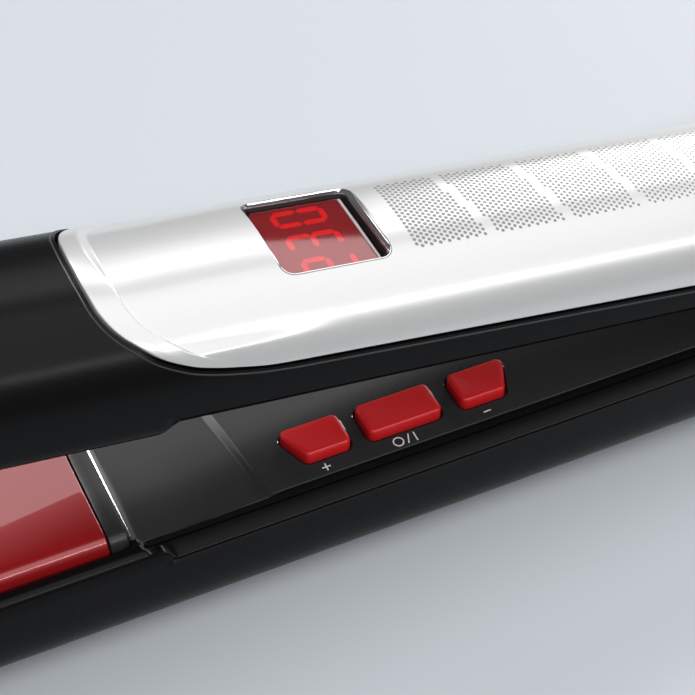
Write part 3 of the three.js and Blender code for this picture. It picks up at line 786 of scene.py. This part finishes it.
def segment(x0, y0, x1, y1):
    """A bar with pointed ends from one place to another, SEGMENT wide."""
    start, end = Vector((x0, y0)), Vector((x1, y1))
    along = (end - start).normalized()
    across = Vector((-along.y, along.x)) * SEGMENT / 2
    tip = along * SEGMENT / 2
    gap = along * 0.12
    start, end = start + gap, end - gap
    left, right = start + tip, end - tip
    outline = [start, left - across, right - across, end, right + across, left + across]
    return prism([tuple(point) for point in outline], DIGIT_FACE, DIGIT_FACE + 0.12)


def display_digits():
    """Three lit digits. They read along +Y, and their tops point to the nose."""
    mesh = bmesh.new()
    low, high = DIGIT_X + DIGIT_HEIGHT / 2 - SEGMENT / 2, DIGIT_X - DIGIT_HEIGHT / 2 + SEGMENT / 2
    for digit, middle in DIGITS_SHOWN:
        left, right = middle - DIGIT_WIDE / 2 + SEGMENT / 2, middle + DIGIT_WIDE / 2 - SEGMENT / 2
        bars = [(high, left, high, right), (high, right, DIGIT_X, right), (DIGIT_X, right, low, right),
                (low, left, low, right), (DIGIT_X, left, low, left), (high, left, DIGIT_X, left),
                (DIGIT_X, left, DIGIT_X, right)]
        for lit, bar in zip(LIT[digit], bars):
            if lit:
                merge(mesh, segment(*bar))
    return make_object("display_digits", mesh, UPPER)


def display_backing():
    outline = window_outline(-1.2, 4)
    return make_object("display_backing", prism(outline, DIGIT_FACE - 0.45, DIGIT_FACE - 0.05), UPPER)


# ---- printed dots on the cover ----
DOT_PITCH = 0.86
DOT_START = -100.6
DOT_END = -26.0
DOT_HALF = 7.4
DOT_BLOCK = 11.6
DOT_BLOCK_GAP = 1.7


def printed_dots():
    """A field of fine dots in slanted blocks, which shrink towards the hinge. It spells nothing."""
    mesh = bmesh.new()
    row_step = DOT_PITCH * math.sqrt(3) / 2
    for i in range(int((DOT_END - DOT_START) / row_step)):
        for j in range(-9, 10):
            x = DOT_START + i * row_step
            y = (j + 0.5 * (i % 2)) * DOT_PITCH
            place = (x - DOT_START + 0.18 * y + 1.4) % (DOT_BLOCK + DOT_BLOCK_GAP)
            if abs(y) > DOT_HALF or place > DOT_BLOCK:
                continue
            radius = 0.31 - 0.13 * clamp((x - DOT_START) / (DOT_END - DOT_START))
            ring = [(px, py, surface_height(py, px) + 0.012) for px, py in around(x, y, radius, 8)]
            top = [mesh.verts.new(point) for point in ring]
            low = [mesh.verts.new((px, py, pz - 0.03)) for px, py, pz in ring]
            mesh.faces.new(top)
            mesh.faces.new(low[::-1])
            bridge(mesh, top + top[:1], low + low[:1])
    return make_object("cover_dots", mesh, UPPER)


# ---- inner panels and what lies between them and the plates ----
def field_edge(y):
    """Where the raised button field starts: a shallow arc across the panel."""
    return -125.75 + 0.12 * y + 0.9 * clamp((y - 10.8) / 3.1) ** 2


def panel_height(x, y):
    """Height of the inner panel's face above the meeting plane (a larger number is deeper)."""
    start = field_edge(y)
    width = mix(1.6, 0.6, clamp((y + PANEL_HALF) / (2 * PANEL_HALF)) ** 2)
    drop = SADDLE_DROP * clamp((start + width / 2 - x) / width)
    saddle = 0.35 * math.exp(-(((x + 135.5) / 5.0) ** 2)) * (1 - smooth(-131, -127, x))
    rise = 0.5 * (1 - smooth(BRIDGE_END + 0.1, -144.3, x))
    return PANEL_FACE + PANEL_CROWN * (y / PANEL_HALF) ** 2 + drop + saddle - rise


def panel_grid(shift, half):
    start = BRIDGE_END + GAP
    spans = [steps(start, -144, 8), steps(-143.4, -129.4, 18), steps(-128.8, -122.6, 30),
             steps(-121.5, PANEL_END - 0.4, 48), [PANEL_END - 0.1, PANEL_END]]
    rows = []
    for x in [place for span in spans for place in span]:
        row = []
        for y in steps(-half, half, 40):
            pull = (field_edge(y) - field_edge(0)) * smooth(-131, -129, x) * (1 - smooth(-121, -116, x))
            at = x + pull
            row.append((at, y, panel_height(at, y) + shift))
        rows.append(row)
    return rows


def with_skirts(rows, corner, half):
    """Rows of a panel's face, each carried on round a corner of (outwards, deeper) offsets to its skirts."""
    longer = []
    for row in rows:
        skirts = []
        for (x, y, z), sign in ((row[0], -1), (row[-1], 1)):
            bend = [(x, y + sign * outwards, z + deeper) for outwards, deeper in corner]
            skirts.append(bend + [(x, sign * half, PANEL_SKIRT)])
        longer.append(skirts[0][::-1] + row + skirts[1])
    return longer


def panel_skin():
    """The crowned face with rounded edges and a skirt down each side."""
    rounding = 0.16
    outer_corner = [(rounding - inset, drop) for drop, inset in quarter_round(rounding, 4)[1:]]
    inner_corner = [(0, 0.01 * k) for k in (1, 2, 3, 4)]
    outer = with_skirts(panel_grid(0.0, PANEL_EDGE - rounding), outer_corner, PANEL_EDGE)
    inner = with_skirts(panel_grid(PANEL_THICK, PANEL_EDGE - 1.2), inner_corner, PANEL_EDGE - 1.1)
    return thick_grid(outer, inner)


def button_outline(name, grow=0.0, arc=5):
    start, end, slant_start, slant_end = BUTTONS[name]
    corners = [(start - grow, BUTTON_FAR - grow), (end + grow, BUTTON_FAR - grow),
               (end - slant_end + grow, BUTTON_NEAR + grow), (start + slant_start - grow, BUTTON_NEAR + grow)]
    return rounded_outline(corners, 1.15 + grow, arc)


def inner_panel(name, arm, has_buttons):
    panel = make_object(name, panel_skin(), arm, 32)
    seats = []
    seat = PANEL_FACE + 1.4
    profile = [(-1, 0), (-1, 3.35), (1.75, 3.35), (2.1, 3.0), (seat, 3), (seat, 1.9), (9, 1.9), (9, 0)]
    for place in screw_places():
        carve(panel, "UNION", arm, rod("Z", 3.4, seat, 8, place, 32))
        seats.append(spin(profile, 40, "Z", place))
    carve(panel, "DIFFERENCE", arm, *seats, sharp_angle=32)
    if has_buttons:
        holes = [prism(button_outline(button, GAP), -1, 6) for button in BUTTONS]
        carve(panel, "DIFFERENCE", arm, *holes, sharp_angle=32)
    return panel


def button_rim(name):
    """The polished edge round a button's hole."""
    line = [(x, y, panel_height(x, y) + 0.02) for x, y in button_outline(name, GAP + 0.12, 8)]
    return make_object("rim_" + name, bead(line, 0.13, closed=True), LOWER)


def button_cap(name):
    """A push button: rounded top edge, a slightly dished top and a flange behind the panel."""
    flange_top = PANEL_FACE + PANEL_CROWN * (BUTTON_NEAR / PANEL_HALF) ** 2 + PANEL_THICK + 0.4
    flange_end = flange_top + 0.8
    radius = 0.55
    levels = [(0.8, flange_end), (0.8, flange_top), (0, flange_top)]
    levels += [(-drop, BUTTON_TOP + inset) for drop, inset in quarter_round(radius, 6)]
    loops = [at_height(button_outline(name, grow, 7), z) for grow, z in levels]
    start, end, slant_start, slant_end = BUTTONS[name]
    middle = Vector(((start + end + slant_start - slant_end) / 2, (BUTTON_FAR + BUTTON_NEAR) / 2))
    for share in (0.85, 0.6, 0.3, 0.02):
        loop = []
        for x, y in button_outline(name, -radius, 7):
            here = middle.lerp(Vector((x, y)), share)
            loop.append((here.x, here.y, BUTTON_TOP + 0.12 * (1 - share**2)))
        loops.append(loop)
    return make_object("key_" + name, loft(loops), LOWER, 40)


def glyph(name, bars, ring=None):
    """A printed sign on the lower panel made of straight bars and, if given, a ring (x, y, radius)."""
    mesh = bmesh.new()
    for x0, y0, x1, y1 in bars:
        start, end = Vector((x0, y0)), Vector((x1, y1))
        along = (end - start).normalized() * INK_HALF
        across = Vector((-along.y, along.x))
        outline = [start - across, end - across, end + across, start + across]
        top = [(point.x, point.y, panel_height(point.x, point.y) - 0.015) for point in outline]
        low = [(x, y, z + 0.05) for x, y, z in top]
        merge(mesh, loft([low, top]))
    if ring:
        x, y, radius = ring
        loops = []
        for grow, lift in ((-INK_HALF, -0.015), (INK_HALF, -0.015), (INK_HALF, 0.03), (-INK_HALF, 0.03)):
            circle = around(x, y, radius + grow, 32)
            loops.append([(px, py, panel_height(px, py) + lift) for px, py in circle])
        merge(mesh, closed_ring(loops))
    return make_object("sign_" + name, mesh, LOWER)


def glyphs():
    """The plus, on/off and minus signs below the buttons."""
    y = SIGN_Y
    low, high = y - 0.85, y + 0.85
    plus = glyph("plus", [(-114.5, y, -113.1, y), (-113.8, y - 0.7, -113.8, y + 0.7)])
    power = glyph("power", [(-100.2, high, -99.6, low), (-98.7, low, -98.7, high)], (-101.6, y, 0.8))
    minus = glyph("minus", [(-86.8, y, -85.5, y)])
    return plus, power, minus


def rolled_profile(half, face, radius, skirt, columns):
    """(y, z) points across a plate with rolled edges, from one skirt's end to the other's."""
    side = [(half, skirt)] + [(half - inset, face + drop) for drop, inset in quarter_round(radius, 8)[::-1]]
    flat = side[-1][0]
    across = [(y, face) for y in steps(flat, -flat, columns)[1:-1]]
    return side + across + [(-y, z) for y, z in side[::-1]]


def plate_loop(x, drop):
    """The plate's section at x, shrunk by drop, with a hollow behind the face."""
    outside = rolled_profile(PLATE_HALF - drop, PLATE_FACE + drop, PLATE_ROLL - drop, PLATE_SKIRT, 12)
    wall, web = PLATE_HALF - 1.3, PLATE_HALF - 2.4
    inside = [(-wall, PLATE_SKIRT), (-wall, PLATE_FACE + 2.8), (-web, PLATE_FACE + 1.7),
              (web, PLATE_FACE + 1.7), (wall, PLATE_FACE + 2.8), (wall, PLATE_SKIRT)]
    return [(x, y, z) for y, z in outside + inside]


def heating_plate(name, arm):
    """A plate with rolled long edges and softly broken ends."""
    rounding = quarter_round(PLATE_BREAK, 4)
    loops = [plate_loop(PLATE_START + inset, drop) for drop, inset in rounding[::-1]]
    loops += [plate_loop(x, 0) for x in steps(PLATE_START + 1, PLATE_END - 1, 20)]
    loops += [plate_loop(PLATE_END - inset, drop) for drop, inset in rounding]
    return make_object(name, loft(loops), arm, 30)


def end_bridge(name, arm):
    """The dark cap between the plate and the inner panel, with a rounded rear edge."""
    face = PLATE_FACE + 0.3
    loops = []
    start, end = BRIDGE_END - 2.9, BRIDGE_END
    places = [(start, 0.2), (start + 0.06, 0.06), (start + 0.2, 0), (end - 0.3, 0), (end - 0.08, 0.08),
              (end, 0.3)]
    for x, drop in places:
        profile = rolled_profile(PLATE_HALF - drop * 0.3, face + drop, PLATE_ROLL, 6.8, 10)
        loops.append([(x, y, z) for y, z in profile])
    piece = make_object(name, loft(loops), arm, 40)
    carve(piece, "DIFFERENCE", arm, block((-160, -9, 3.4), (-140, 9, 9)))
    return piece


def edge_highlight_ridge(name, arm):
    """The ridge between the end bridge and the inner panel, which tapers towards one side. It gets a bright
    metal finish as a painted highlight, in place of the light that the dark ridge catches.
    """
    line = []
    for y in steps(-13.6, 13.6, 40):
        line.append((BRIDGE_END + 0.2, y, PLATE_FACE + 0.5 + 0.35 * (y / PLATE_HALF) ** 8))
    return make_object(name, bead(line, 0.36, end_radius=0.14, sides=12), arm)


def rounded_slab(end, half, corner, low, high, radius):
    """A slab from the carrier's nose end to end, with rounded corners and a rounded rim on its open side."""
    loops = []
    for drop, z in [(0, high)] + [(drop, low + inset) for drop, inset in quarter_round(radius, 4)]:
        outline = rectangle(CARRIER_START + drop, end - drop, drop - half, half - drop, corner - drop)
        loops.append(at_height(outline, z))
    return loft(loops)


def plate_carrier(name, arm, foot):
    """The tray round a plate: a rim with rounded edges, a nose lip, a deep part and four feet."""
    end, rim = BRIDGE_END - 3.4, 2.6
    front, half = PLATE_START - GAP, PLATE_HALF + GAP
    piece = make_object(name, rounded_slab(end, CARRIER_HALF, 1.0, rim, TRAY_SHOULDER, 0.4), arm, 32)
    carve(piece, "DIFFERENCE", arm, block((front, -half, 0), (end + 1, half, TRAY_SHOULDER - 1.2)))
    posts = [rod("Z", 2, TRAY_BOTTOM - 0.4, foot, (x, y, 0), 20) for x in (-226, -162) for y in (-7, 7)]
    well = block((CARRIER_START + 0.1, -WELL_HALF, TRAY_SHOULDER - 1), (end - 0.1, WELL_HALF, TRAY_BOTTOM))
    carve(piece, "UNION", arm, well, rounded_slab(front, 13, 0.9, 1.2, rim + 0.5, 0.35), *posts)
    room = block((PLATE_START + 4, -WELL_HALF + 1.2, 0), (end + 1, WELL_HALF - 1.2, TRAY_BOTTOM - 1.4))
    slot = block((-200, -4, TRAY_BOTTOM - 2.4), (-186, 4, TRAY_BOTTOM + 1))
    carve(piece, "DIFFERENCE", arm, room, slot, sharp_angle=32)
    return piece


def plate_spring(name, arm, x):
    """The coil spring that lets a plate give way."""
    wire, radius, turns = 0.35, 3.2, 2.5
    line = []
    for share in steps(0, 1, 60):
        turn = 2 * math.pi * turns * share
        height = mix(SPRING_LOW + wire, SPRING_HIGH - wire, share)
        line.append((x + radius * math.cos(turn), radius * math.sin(turn), height))
    return make_object(name, bead(line, wire), arm)


def seam_shade_strip(name, arm, side):
    """A very dark strip in the seam between the inner panel and the shell: painted shade, which stands in for
    the shadow in the open seam.
    """
    near, far, top, bottom = PANEL_EDGE - 0.05, 14.12, 0.22, 1.2
    loops = []
    for x in steps(-144.2, PANEL_END, 60):
        corners = ((near, bottom), (near, top), (far, top), (far, bottom))
        loops.append([(x, side * y, panel_height(x, PANEL_EDGE) + deep) for y, deep in corners])
    return make_object(name, loft(loops), arm)


def panel_screw(name, arm, side):
    """A pan-head screw with a cross recess."""
    face = PANEL_FACE + 0.5
    profile = [(face, 0), (face, 1.3), (face + 0.12, 2.2), (face + 0.45, 2.65), (face + 0.6, 2.7),
               (face + 0.6, 1.5), (11, 1.5), (12, 0)]
    x, y = SCREW_X, side * SCREW_Y
    piece = make_object(name, spin(profile, 40, "Z", (x, y, 0)), arm, 30)
    cross = [block((x - long, y - wide, 0), (x + long, y + wide, face + 0.5))
             for long, wide in ((1.5, 0.3), (0.3, 1.5))]
    carve(piece, "DIFFERENCE", arm, *cross, sharp_angle=30)
    return piece


# ---- hinge and collar ----
def hinge_cap(side):
    """The round cap over the hinge pin's end, dished and with two fine rings."""
    face = HALF_WIDTH
    profile = [(CAP_SEAT + GAP, 0), (CAP_SEAT + GAP, CAP_RADIUS - 0.4), (face - 0.5, CAP_RADIUS),
               (face - 0.15, CAP_RADIUS - 0.12), (face, CAP_RADIUS - 0.5), (face, 8.4), (face - 0.25, 8.2),
               (face - 0.25, 7.8), (face, 7.6), (face, 7.0), (face - 0.12, 6.7), (face - 0.4, 6.3),
               (face - 0.55, 4.5), (face - 0.65, 2.2), (face - 0.68, 0)]
    name = "pivot_cap_" + ("near" if side > 0 else "far")
    return make_object(name, spin([(side * along, radius) for along, radius in profile], 96, "Y"), LOWER, 30)


def cord_collar():
    """The swivelling collar, with fine ribs round its outer part."""
    bore = 3.4
    profile = [(27.6, bore), (27.6, 7.2), (30.3, 7.2), (30.3, 6.2), (34.3, 6.2), (34.3, 8.35), (34.45, 8.55)]
    for i in range(3):
        x = 35.2 + 1.15 * i
        radius = 8.45 - 0.36 * (x - 34.3)
        groove = ((0, 0), (0.12, 0.35), (0.42, 0.37), (0.54, 0.12))
        profile += [(x + along, radius - deep) for along, deep in groove]
    profile += [(39.6, 6.95), (39.9, 6.75), (40.0, 6.4), (40.0, bore + 0.5), (39.6, bore), (27.6, bore)]
    return make_object("swivel_collar", spin(profile[:-1], 72), LOWER, 30)


# ---- materials ----
def new_material(name, color, roughness, **sockets):
    """A Principled material. Each keyword is a socket's name with _ for the spaces."""
    material = bpy.data.materials.new(name)
    material.use_nodes = True
    shader = material.node_tree.nodes["Principled BSDF"]
    shader.inputs["Base Color"].default_value = (*color, 1)
    shader.inputs["Roughness"].default_value = roughness
    for key, value in sockets.items():
        shader.inputs[key.replace("_", " ")].default_value = value
    return material


def noise_node(material, scale, detail, stretch=(1, 1, 1)):
    """Noise in the object's own coordinates, whose unit is a metre."""
    nodes, links = material.node_tree.nodes, material.node_tree.links
    place = nodes.new("ShaderNodeTexCoord")
    mapping = nodes.new("ShaderNodeMapping")
    mapping.inputs["Scale"].default_value = stretch
    texture = nodes.new("ShaderNodeTexNoise")
    texture.inputs["Scale"].default_value = scale
    texture.inputs["Detail"].default_value = detail
    links.new(place.outputs["Object"], mapping.inputs["Vector"])
    links.new(mapping.outputs["Vector"], texture.inputs["Vector"])
    return texture


def add_grain(material, strength):
    """The very fine bump of a textured moulding tool."""
    nodes, links = material.node_tree.nodes, material.node_tree.links
    texture = noise_node(material, 7000, 2.0)
    bump = nodes.new("ShaderNodeBump")
    bump.inputs["Strength"].default_value = strength
    bump.inputs["Distance"].default_value = 0.001 * MM
    links.new(texture.outputs["Fac"], bump.inputs["Height"])
    links.new(bump.outputs["Normal"], nodes["Principled BSDF"].inputs["Normal"])


def vary_roughness(material, scale, low, high, stretch=(1, 1, 1)):
    nodes, links = material.node_tree.nodes, material.node_tree.links
    texture = noise_node(material, scale, 4.0, stretch)
    spread = nodes.new("ShaderNodeMapRange")
    spread.inputs["From Min"].default_value = 0.3
    spread.inputs["From Max"].default_value = 0.7
    spread.inputs["To Min"].default_value = low
    spread.inputs["To Max"].default_value = high
    links.new(texture.outputs["Fac"], spread.inputs["Value"])
    links.new(spread.outputs["Result"], nodes["Principled BSDF"].inputs["Roughness"])


def vary_color(material, scale, first, second):
    nodes, links = material.node_tree.nodes, material.node_tree.links
    texture = noise_node(material, scale, 3.0)
    ramp = nodes.new("ShaderNodeValToRGB")
    for stop, position, color in zip(ramp.color_ramp.elements, (0.35, 0.65), (first, second)):
        stop.position = position
        stop.color = (*color, 1)
    links.new(texture.outputs["Fac"], ramp.inputs["Fac"])
    links.new(ramp.outputs["Color"], nodes["Principled BSDF"].inputs["Base Color"])


def satin_black(name, tone, roughness, gloss):
    """Moulded plastic with a fine even grain."""
    material = new_material(name, (tone, tone, tone * 1.04), roughness, Specular_IOR_Level=gloss)
    vary_roughness(material, 6500, roughness - 0.01, roughness + 0.01)
    dark, light = [(tone * share, tone * share, tone * (share + 0.04)) for share in (0.9, 1.12)]
    vary_color(material, 6000, dark, light)
    add_grain(material, 0.35)
    return material


def pearl_silver():
    """Light silver lacquer with fine metallic flakes under a thin clear coat."""
    material = new_material("pearl_silver", (0.6, 0.6, 0.595), 0.28, Metallic=0.35, Coat_Weight=0.4,
                            Coat_Roughness=0.1)
    vary_roughness(material, 7500, 0.275, 0.285)
    vary_color(material, 7000, (0.59, 0.59, 0.585), (0.61, 0.61, 0.605))
    return material


def plate_red():
    """Dark red ceramic coating with a deep gloss and a faint rubbed grain along the plate."""
    material = new_material("plate_red", (0.34, 0.009, 0.012), 0.3, Metallic=0.15, Coat_Weight=1.0,
                            Coat_Roughness=0.03, Coat_IOR=1.38)
    vary_color(material, 6500, (0.33, 0.0085, 0.0115), (0.35, 0.0095, 0.0125))
    vary_roughness(material, 6000, 0.28, 0.32, (1, 6, 1))
    return material


def button_red():
    material = new_material("button_red", (0.72, 0.014, 0.018), 0.36)
    vary_color(material, 6200, (0.70, 0.013, 0.017), (0.74, 0.015, 0.019))
    vary_roughness(material, 6000, 0.35, 0.37)
    add_grain(material, 0.3)
    return material


def metal(name, color, roughness, grain=(1, 1, 1)):
    material = new_material(name, color, roughness, Metallic=1.0)
    vary_roughness(material, 400, max(roughness - 0.04, 0.02), roughness + 0.06, grain)
    return material


def red_glass():
    material = new_material("red_glass", (0.62, 0.05, 0.06), 0.04, Transmission_Weight=0.85, IOR=1.49)
    vary_roughness(material, 1500, 0.02, 0.03)
    return material


def glowing(name, color, glow, strength):
    """A surface that glows a little unevenly, as a diffused lamp behind it does."""
    material = new_material(name, color, 0.45, Emission_Strength=strength)
    material.node_tree.nodes["Principled BSDF"].inputs["Emission Color"].default_value = (*glow, 1)
    vary_color(material, 700, tuple(0.9 * value for value in color), color)
    return material


def speckled(name, dark, light, roughness, scale):
    material = new_material(name, light, roughness)
    vary_color(material, scale, dark, light)
    vary_roughness(material, scale, roughness - 0.05, roughness + 0.05)
    return material


def floor_white():
    material = new_material("floor_white", (0.50, 0.53, 0.565), 0.55, Specular_IOR_Level=0.3)
    vary_roughness(material, 3, 0.5, 0.6)
    return material


BLACK_SHELL = satin_black("black_shell", 0.004, 0.27, 0.11)
BLACK_PANEL = satin_black("black_panel", 0.027, 0.31, 0.33)
POCKET_RIM = satin_black("pocket_rim", 0.012, 0.12, 1.0)
# black_deep is a very dark black; it also colours the painted-shade strips in the panel seams
BLACK_DEEP = satin_black("black_deep", 0.002, 0.5, 0.2)
SILVER = pearl_silver()
RED_PLATE = plate_red()
RED_BUTTON = button_red()
CHROME = metal("chrome", (0.86, 0.86, 0.87), 0.08)
STEEL = metal("spring_steel", (0.58, 0.58, 0.56), 0.3, (1, 8, 1))
ZINC = metal("zinc_screw", (0.66, 0.66, 0.64), 0.24)
# bright metal for the ridge by the end bridge: a painted highlight
HIGHLIGHT_RIDGE_METAL = metal("bright_highlight_ridge", (0.72, 0.72, 0.73), 0.2)
GLASS = red_glass()
DIGITS = glowing("lit_digit", (0.75, 0.02, 0.02), (1.0, 0.02, 0.02), 0.9)
BACKING = glowing("lit_backing", (0.12, 0.004, 0.005), (0.5, 0.008, 0.01), 0.12)
DOT_INK = speckled("dot_ink", (0.16, 0.16, 0.165), (0.24, 0.24, 0.245), 0.45, 4000)
SIGN_INK = speckled("sign_ink", (0.72, 0.72, 0.72), (0.82, 0.82, 0.82), 0.5, 3000)
PALE_GUIDE = speckled("pale_guide", (0.30, 0.28, 0.28), (0.38, 0.36, 0.36), 0.4, 3000)
CERAMIC = speckled("heater_ceramic", (0.78, 0.76, 0.70), (0.86, 0.84, 0.79), 0.6, 900)
BOARD = speckled("board_green", (0.012, 0.085, 0.035), (0.016, 0.11, 0.045), 0.4, 500)
CAPACITOR = speckled("capacitor_red", (0.36, 0.05, 0.03), (0.42, 0.06, 0.035), 0.4, 300)

CARRIED_OVER = {  # the CAD nodes that stay, and their finishes
    "heater_clip": STEEL, "heater": CERAMIC, "thermistor": CERAMIC, "plate_spring": STEEL,
    "thermal_cutoff": STEEL, "switch": BLACK_DEEP, "board": BOARD, "mains_capacitor": CAPACITOR,
    "triac": STEEL, "hinge_pin": STEEL, "hinge_spring": STEEL, "cord_collar_ring": STEEL,
}


# ---- camera and light ----
CAMERA_PLACE = (-193.85, -191.08, 216.99)  # millimetres from the hinge axis
CAMERA_TURN = 25.03  # degrees from +Y towards +X
CAMERA_TILT = 44.66  # degrees downwards
LAMPS = {  # place, target and size in metres, then radiance
    "overhead": ((0.3, -0.09, 1.03), (0.3, 0, 0.03), (2.0, 1.3), 1.7),
    "far_panel": ((0.55, 1.079, 1.084), (0.55, 0, 0.04), (2.4, 0.28), 3.3),
    "far_left": ((-0.45, 0.95, 1.0), (-0.05, 0, 0.03), (0.35, 0.22), 16.0),
    "far_right": ((0.85, 0.85, 0.42), (0, 0, 0.03), (0.4, 0.3), 9.0),
    "front_strip": ((0.3, -0.85, 0.83), (0.3, 0, 0.04), (2.0, 0.05), 24.0),
}


def build_camera():
    """The view down along the arms, from in front of the nose and from the side of the buttons."""
    camera = bpy.data.objects.new("camera", bpy.data.cameras.new("camera"))
    camera.data.lens = 100.0
    camera.data.sensor_width = 36.0
    camera.data.clip_start = 0.01
    camera.location = PIVOT + Vector(CAMERA_PLACE) * MM
    camera.rotation_euler = (math.radians(90 - CAMERA_TILT), 0, math.radians(-CAMERA_TURN))
    bpy.context.scene.collection.objects.link(camera)
    bpy.context.scene.camera = camera


def soft_light(name, place, target, size, radiance):
    """A rectangular lamp that faces a target, its long side along X. Its power follows from its radiance."""
    data = bpy.data.lights.new(name, "AREA")
    data.shape = "RECTANGLE"
    data.size, data.size_y = size
    data.energy = radiance * math.pi * size[0] * size[1]
    light = bpy.data.objects.new(name, data)
    back = (Vector(place) - Vector(target)).normalized()
    across = (Vector((1, 0, 0)) - back.x * back).normalized()
    turn = Matrix((across, back.cross(across), back)).transposed()
    light.matrix_world = Matrix.Translation(place) @ turn.to_4x4()
    bpy.context.scene.collection.objects.link(light)


def build_stage():
    mesh = bmesh.new()
    bmesh.ops.create_grid(mesh, x_segments=1, y_segments=1, size=4.0)
    floor = make_object("floor", mesh, Matrix.Identity(4))
    floor.data.materials.append(floor_white())
    world = bpy.data.worlds.new("studio")
    world.use_nodes = True
    background = world.node_tree.nodes["Background"]
    background.inputs["Color"].default_value = (0.93, 0.96, 1.0, 1)
    background.inputs["Strength"].default_value = 0.12
    bpy.context.scene.world = world
    for name, (place, target, size, radiance) in LAMPS.items():
        soft_light(name, place, target, size, radiance)


# ---- assembly ----
def paint(piece, finish):
    piece.data.materials.clear()
    piece.data.materials.append(finish)


def fit(piece, finish, body, slot, *replaced):
    """Gives a piece its finish and its body, and hides the CAD nodes that it stands for. The slot is not
    used.
    """
    paint(piece, finish)
    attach(piece, body)
    if replaced:
        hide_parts(*replaced)


def finish_carried_over():
    for name, node in frame["nodes"].items():
        paint(node, next((look for key, look in CARRIED_OVER.items() if key in name), BLACK_PANEL))


def build_lower_arm():
    fit(lower_shell(), BLACK_SHELL, "lower_arm", "black_shell", "lower_outer_shell")
    panel = inner_panel("button_panel", LOWER, True)
    fit(panel, BLACK_PANEL, "lower_arm", "black_panel", "lower_inner_panel")
    for name in BUTTONS:
        fit(button_cap(name), RED_BUTTON, "button_" + name, "red_button", "button_" + name)
        fit(button_rim(name), POCKET_RIM, "lower_arm", "black_panel")
    for sign in glyphs():
        fit(sign, SIGN_INK, "lower_arm", "white_print")
    for side, node in ((1, "hinge_cap_left"), (-1, "hinge_cap_right")):
        fit(hinge_cap(side), BLACK_PANEL, "lower_arm", "black_shell", node)
    fit(cord_collar(), BLACK_PANEL, "cord_collar", "black_shell", "cord_collar")


def build_upper_arm():
    fit(upper_housing(), BLACK_SHELL, "upper_arm", "black_shell", "upper_housing")
    fit(silver_cover(), SILVER, "upper_arm", "silver_cover", "silver_cover")
    fit(nose_ridge(), BLACK_PANEL, "upper_arm", "black_shell")
    for side in (1, -1):
        fit(side_ledge(side), BLACK_PANEL, "upper_arm", "black_shell")
    panel = inner_panel("plain_panel", UPPER, False)
    fit(panel, BLACK_PANEL, "upper_arm", "black_panel", "upper_inner_panel")
    fit(display_bezel(), CHROME, "upper_arm", "chrome_bezel", "display_bezel")
    fit(window_well(), BLACK_DEEP, "upper_arm", "black_shell")
    fit(display_glass(), GLASS, "upper_arm", "red_glass", "display_lens")
    fit(light_guide(), PALE_GUIDE, "upper_arm", "white_print")
    fit(display_digits(), DIGITS, "upper_arm", "display_digits")
    fit(display_backing(), BACKING, "upper_arm", "red_glass", "display_module")
    fit(printed_dots(), DOT_INK, "upper_arm", "black_panel")


def build_plates():
    """The heating plate of each arm, with its carrier, end bridge and panel screws."""
    for prefix, arm, foot in (("lower", LOWER, 16.9), ("upper", UPPER, 14.6)):
        body = prefix + "_arm"
        plate = heating_plate(prefix + "_hot_plate", arm)
        fit(plate, RED_PLATE, prefix + "_plate_block", "red_plate", prefix + "_plate")
        fit(end_bridge(prefix + "_bridge", arm), BLACK_PANEL, body, "black_panel", prefix + "_end_bridge")
        # the ridge's bright metal finish is a painted highlight
        fit(edge_highlight_ridge(prefix + "_highlight_ridge", arm), HIGHLIGHT_RIDGE_METAL, body, "chrome_bezel")
        carrier = plate_carrier(prefix + "_tray", arm, foot)
        fit(carrier, BLACK_PANEL, body, "black_panel", prefix + "_plate_carrier")
        for place, x in SPRING_PLACES.items():
            spring = plate_spring(f"{prefix}_coil_{place}", arm, x)
            fit(spring, STEEL, body, "spring_steel", f"{prefix}_plate_spring_{place}")
            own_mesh(spring)
        for side, hand in ((1, "left"), (-1, "right")):
            screw = panel_screw(f"{prefix}_screw_{hand}", arm, side)
            fit(screw, ZINC, body, "zinc_screw", f"{prefix}_panel_screw_{hand}")
            # the seam strips are painted shade, in the very dark black_deep finish
            fit(seam_shade_strip(f"{prefix}_seam_shade_{hand}", arm, side), BLACK_DEEP, body, "black_panel")


bpy.context.scene.view_settings.view_transform = "Standard"
build_camera()
build_stage()
finish_carried_over()
build_lower_arm()
build_upper_arm()
build_plates()
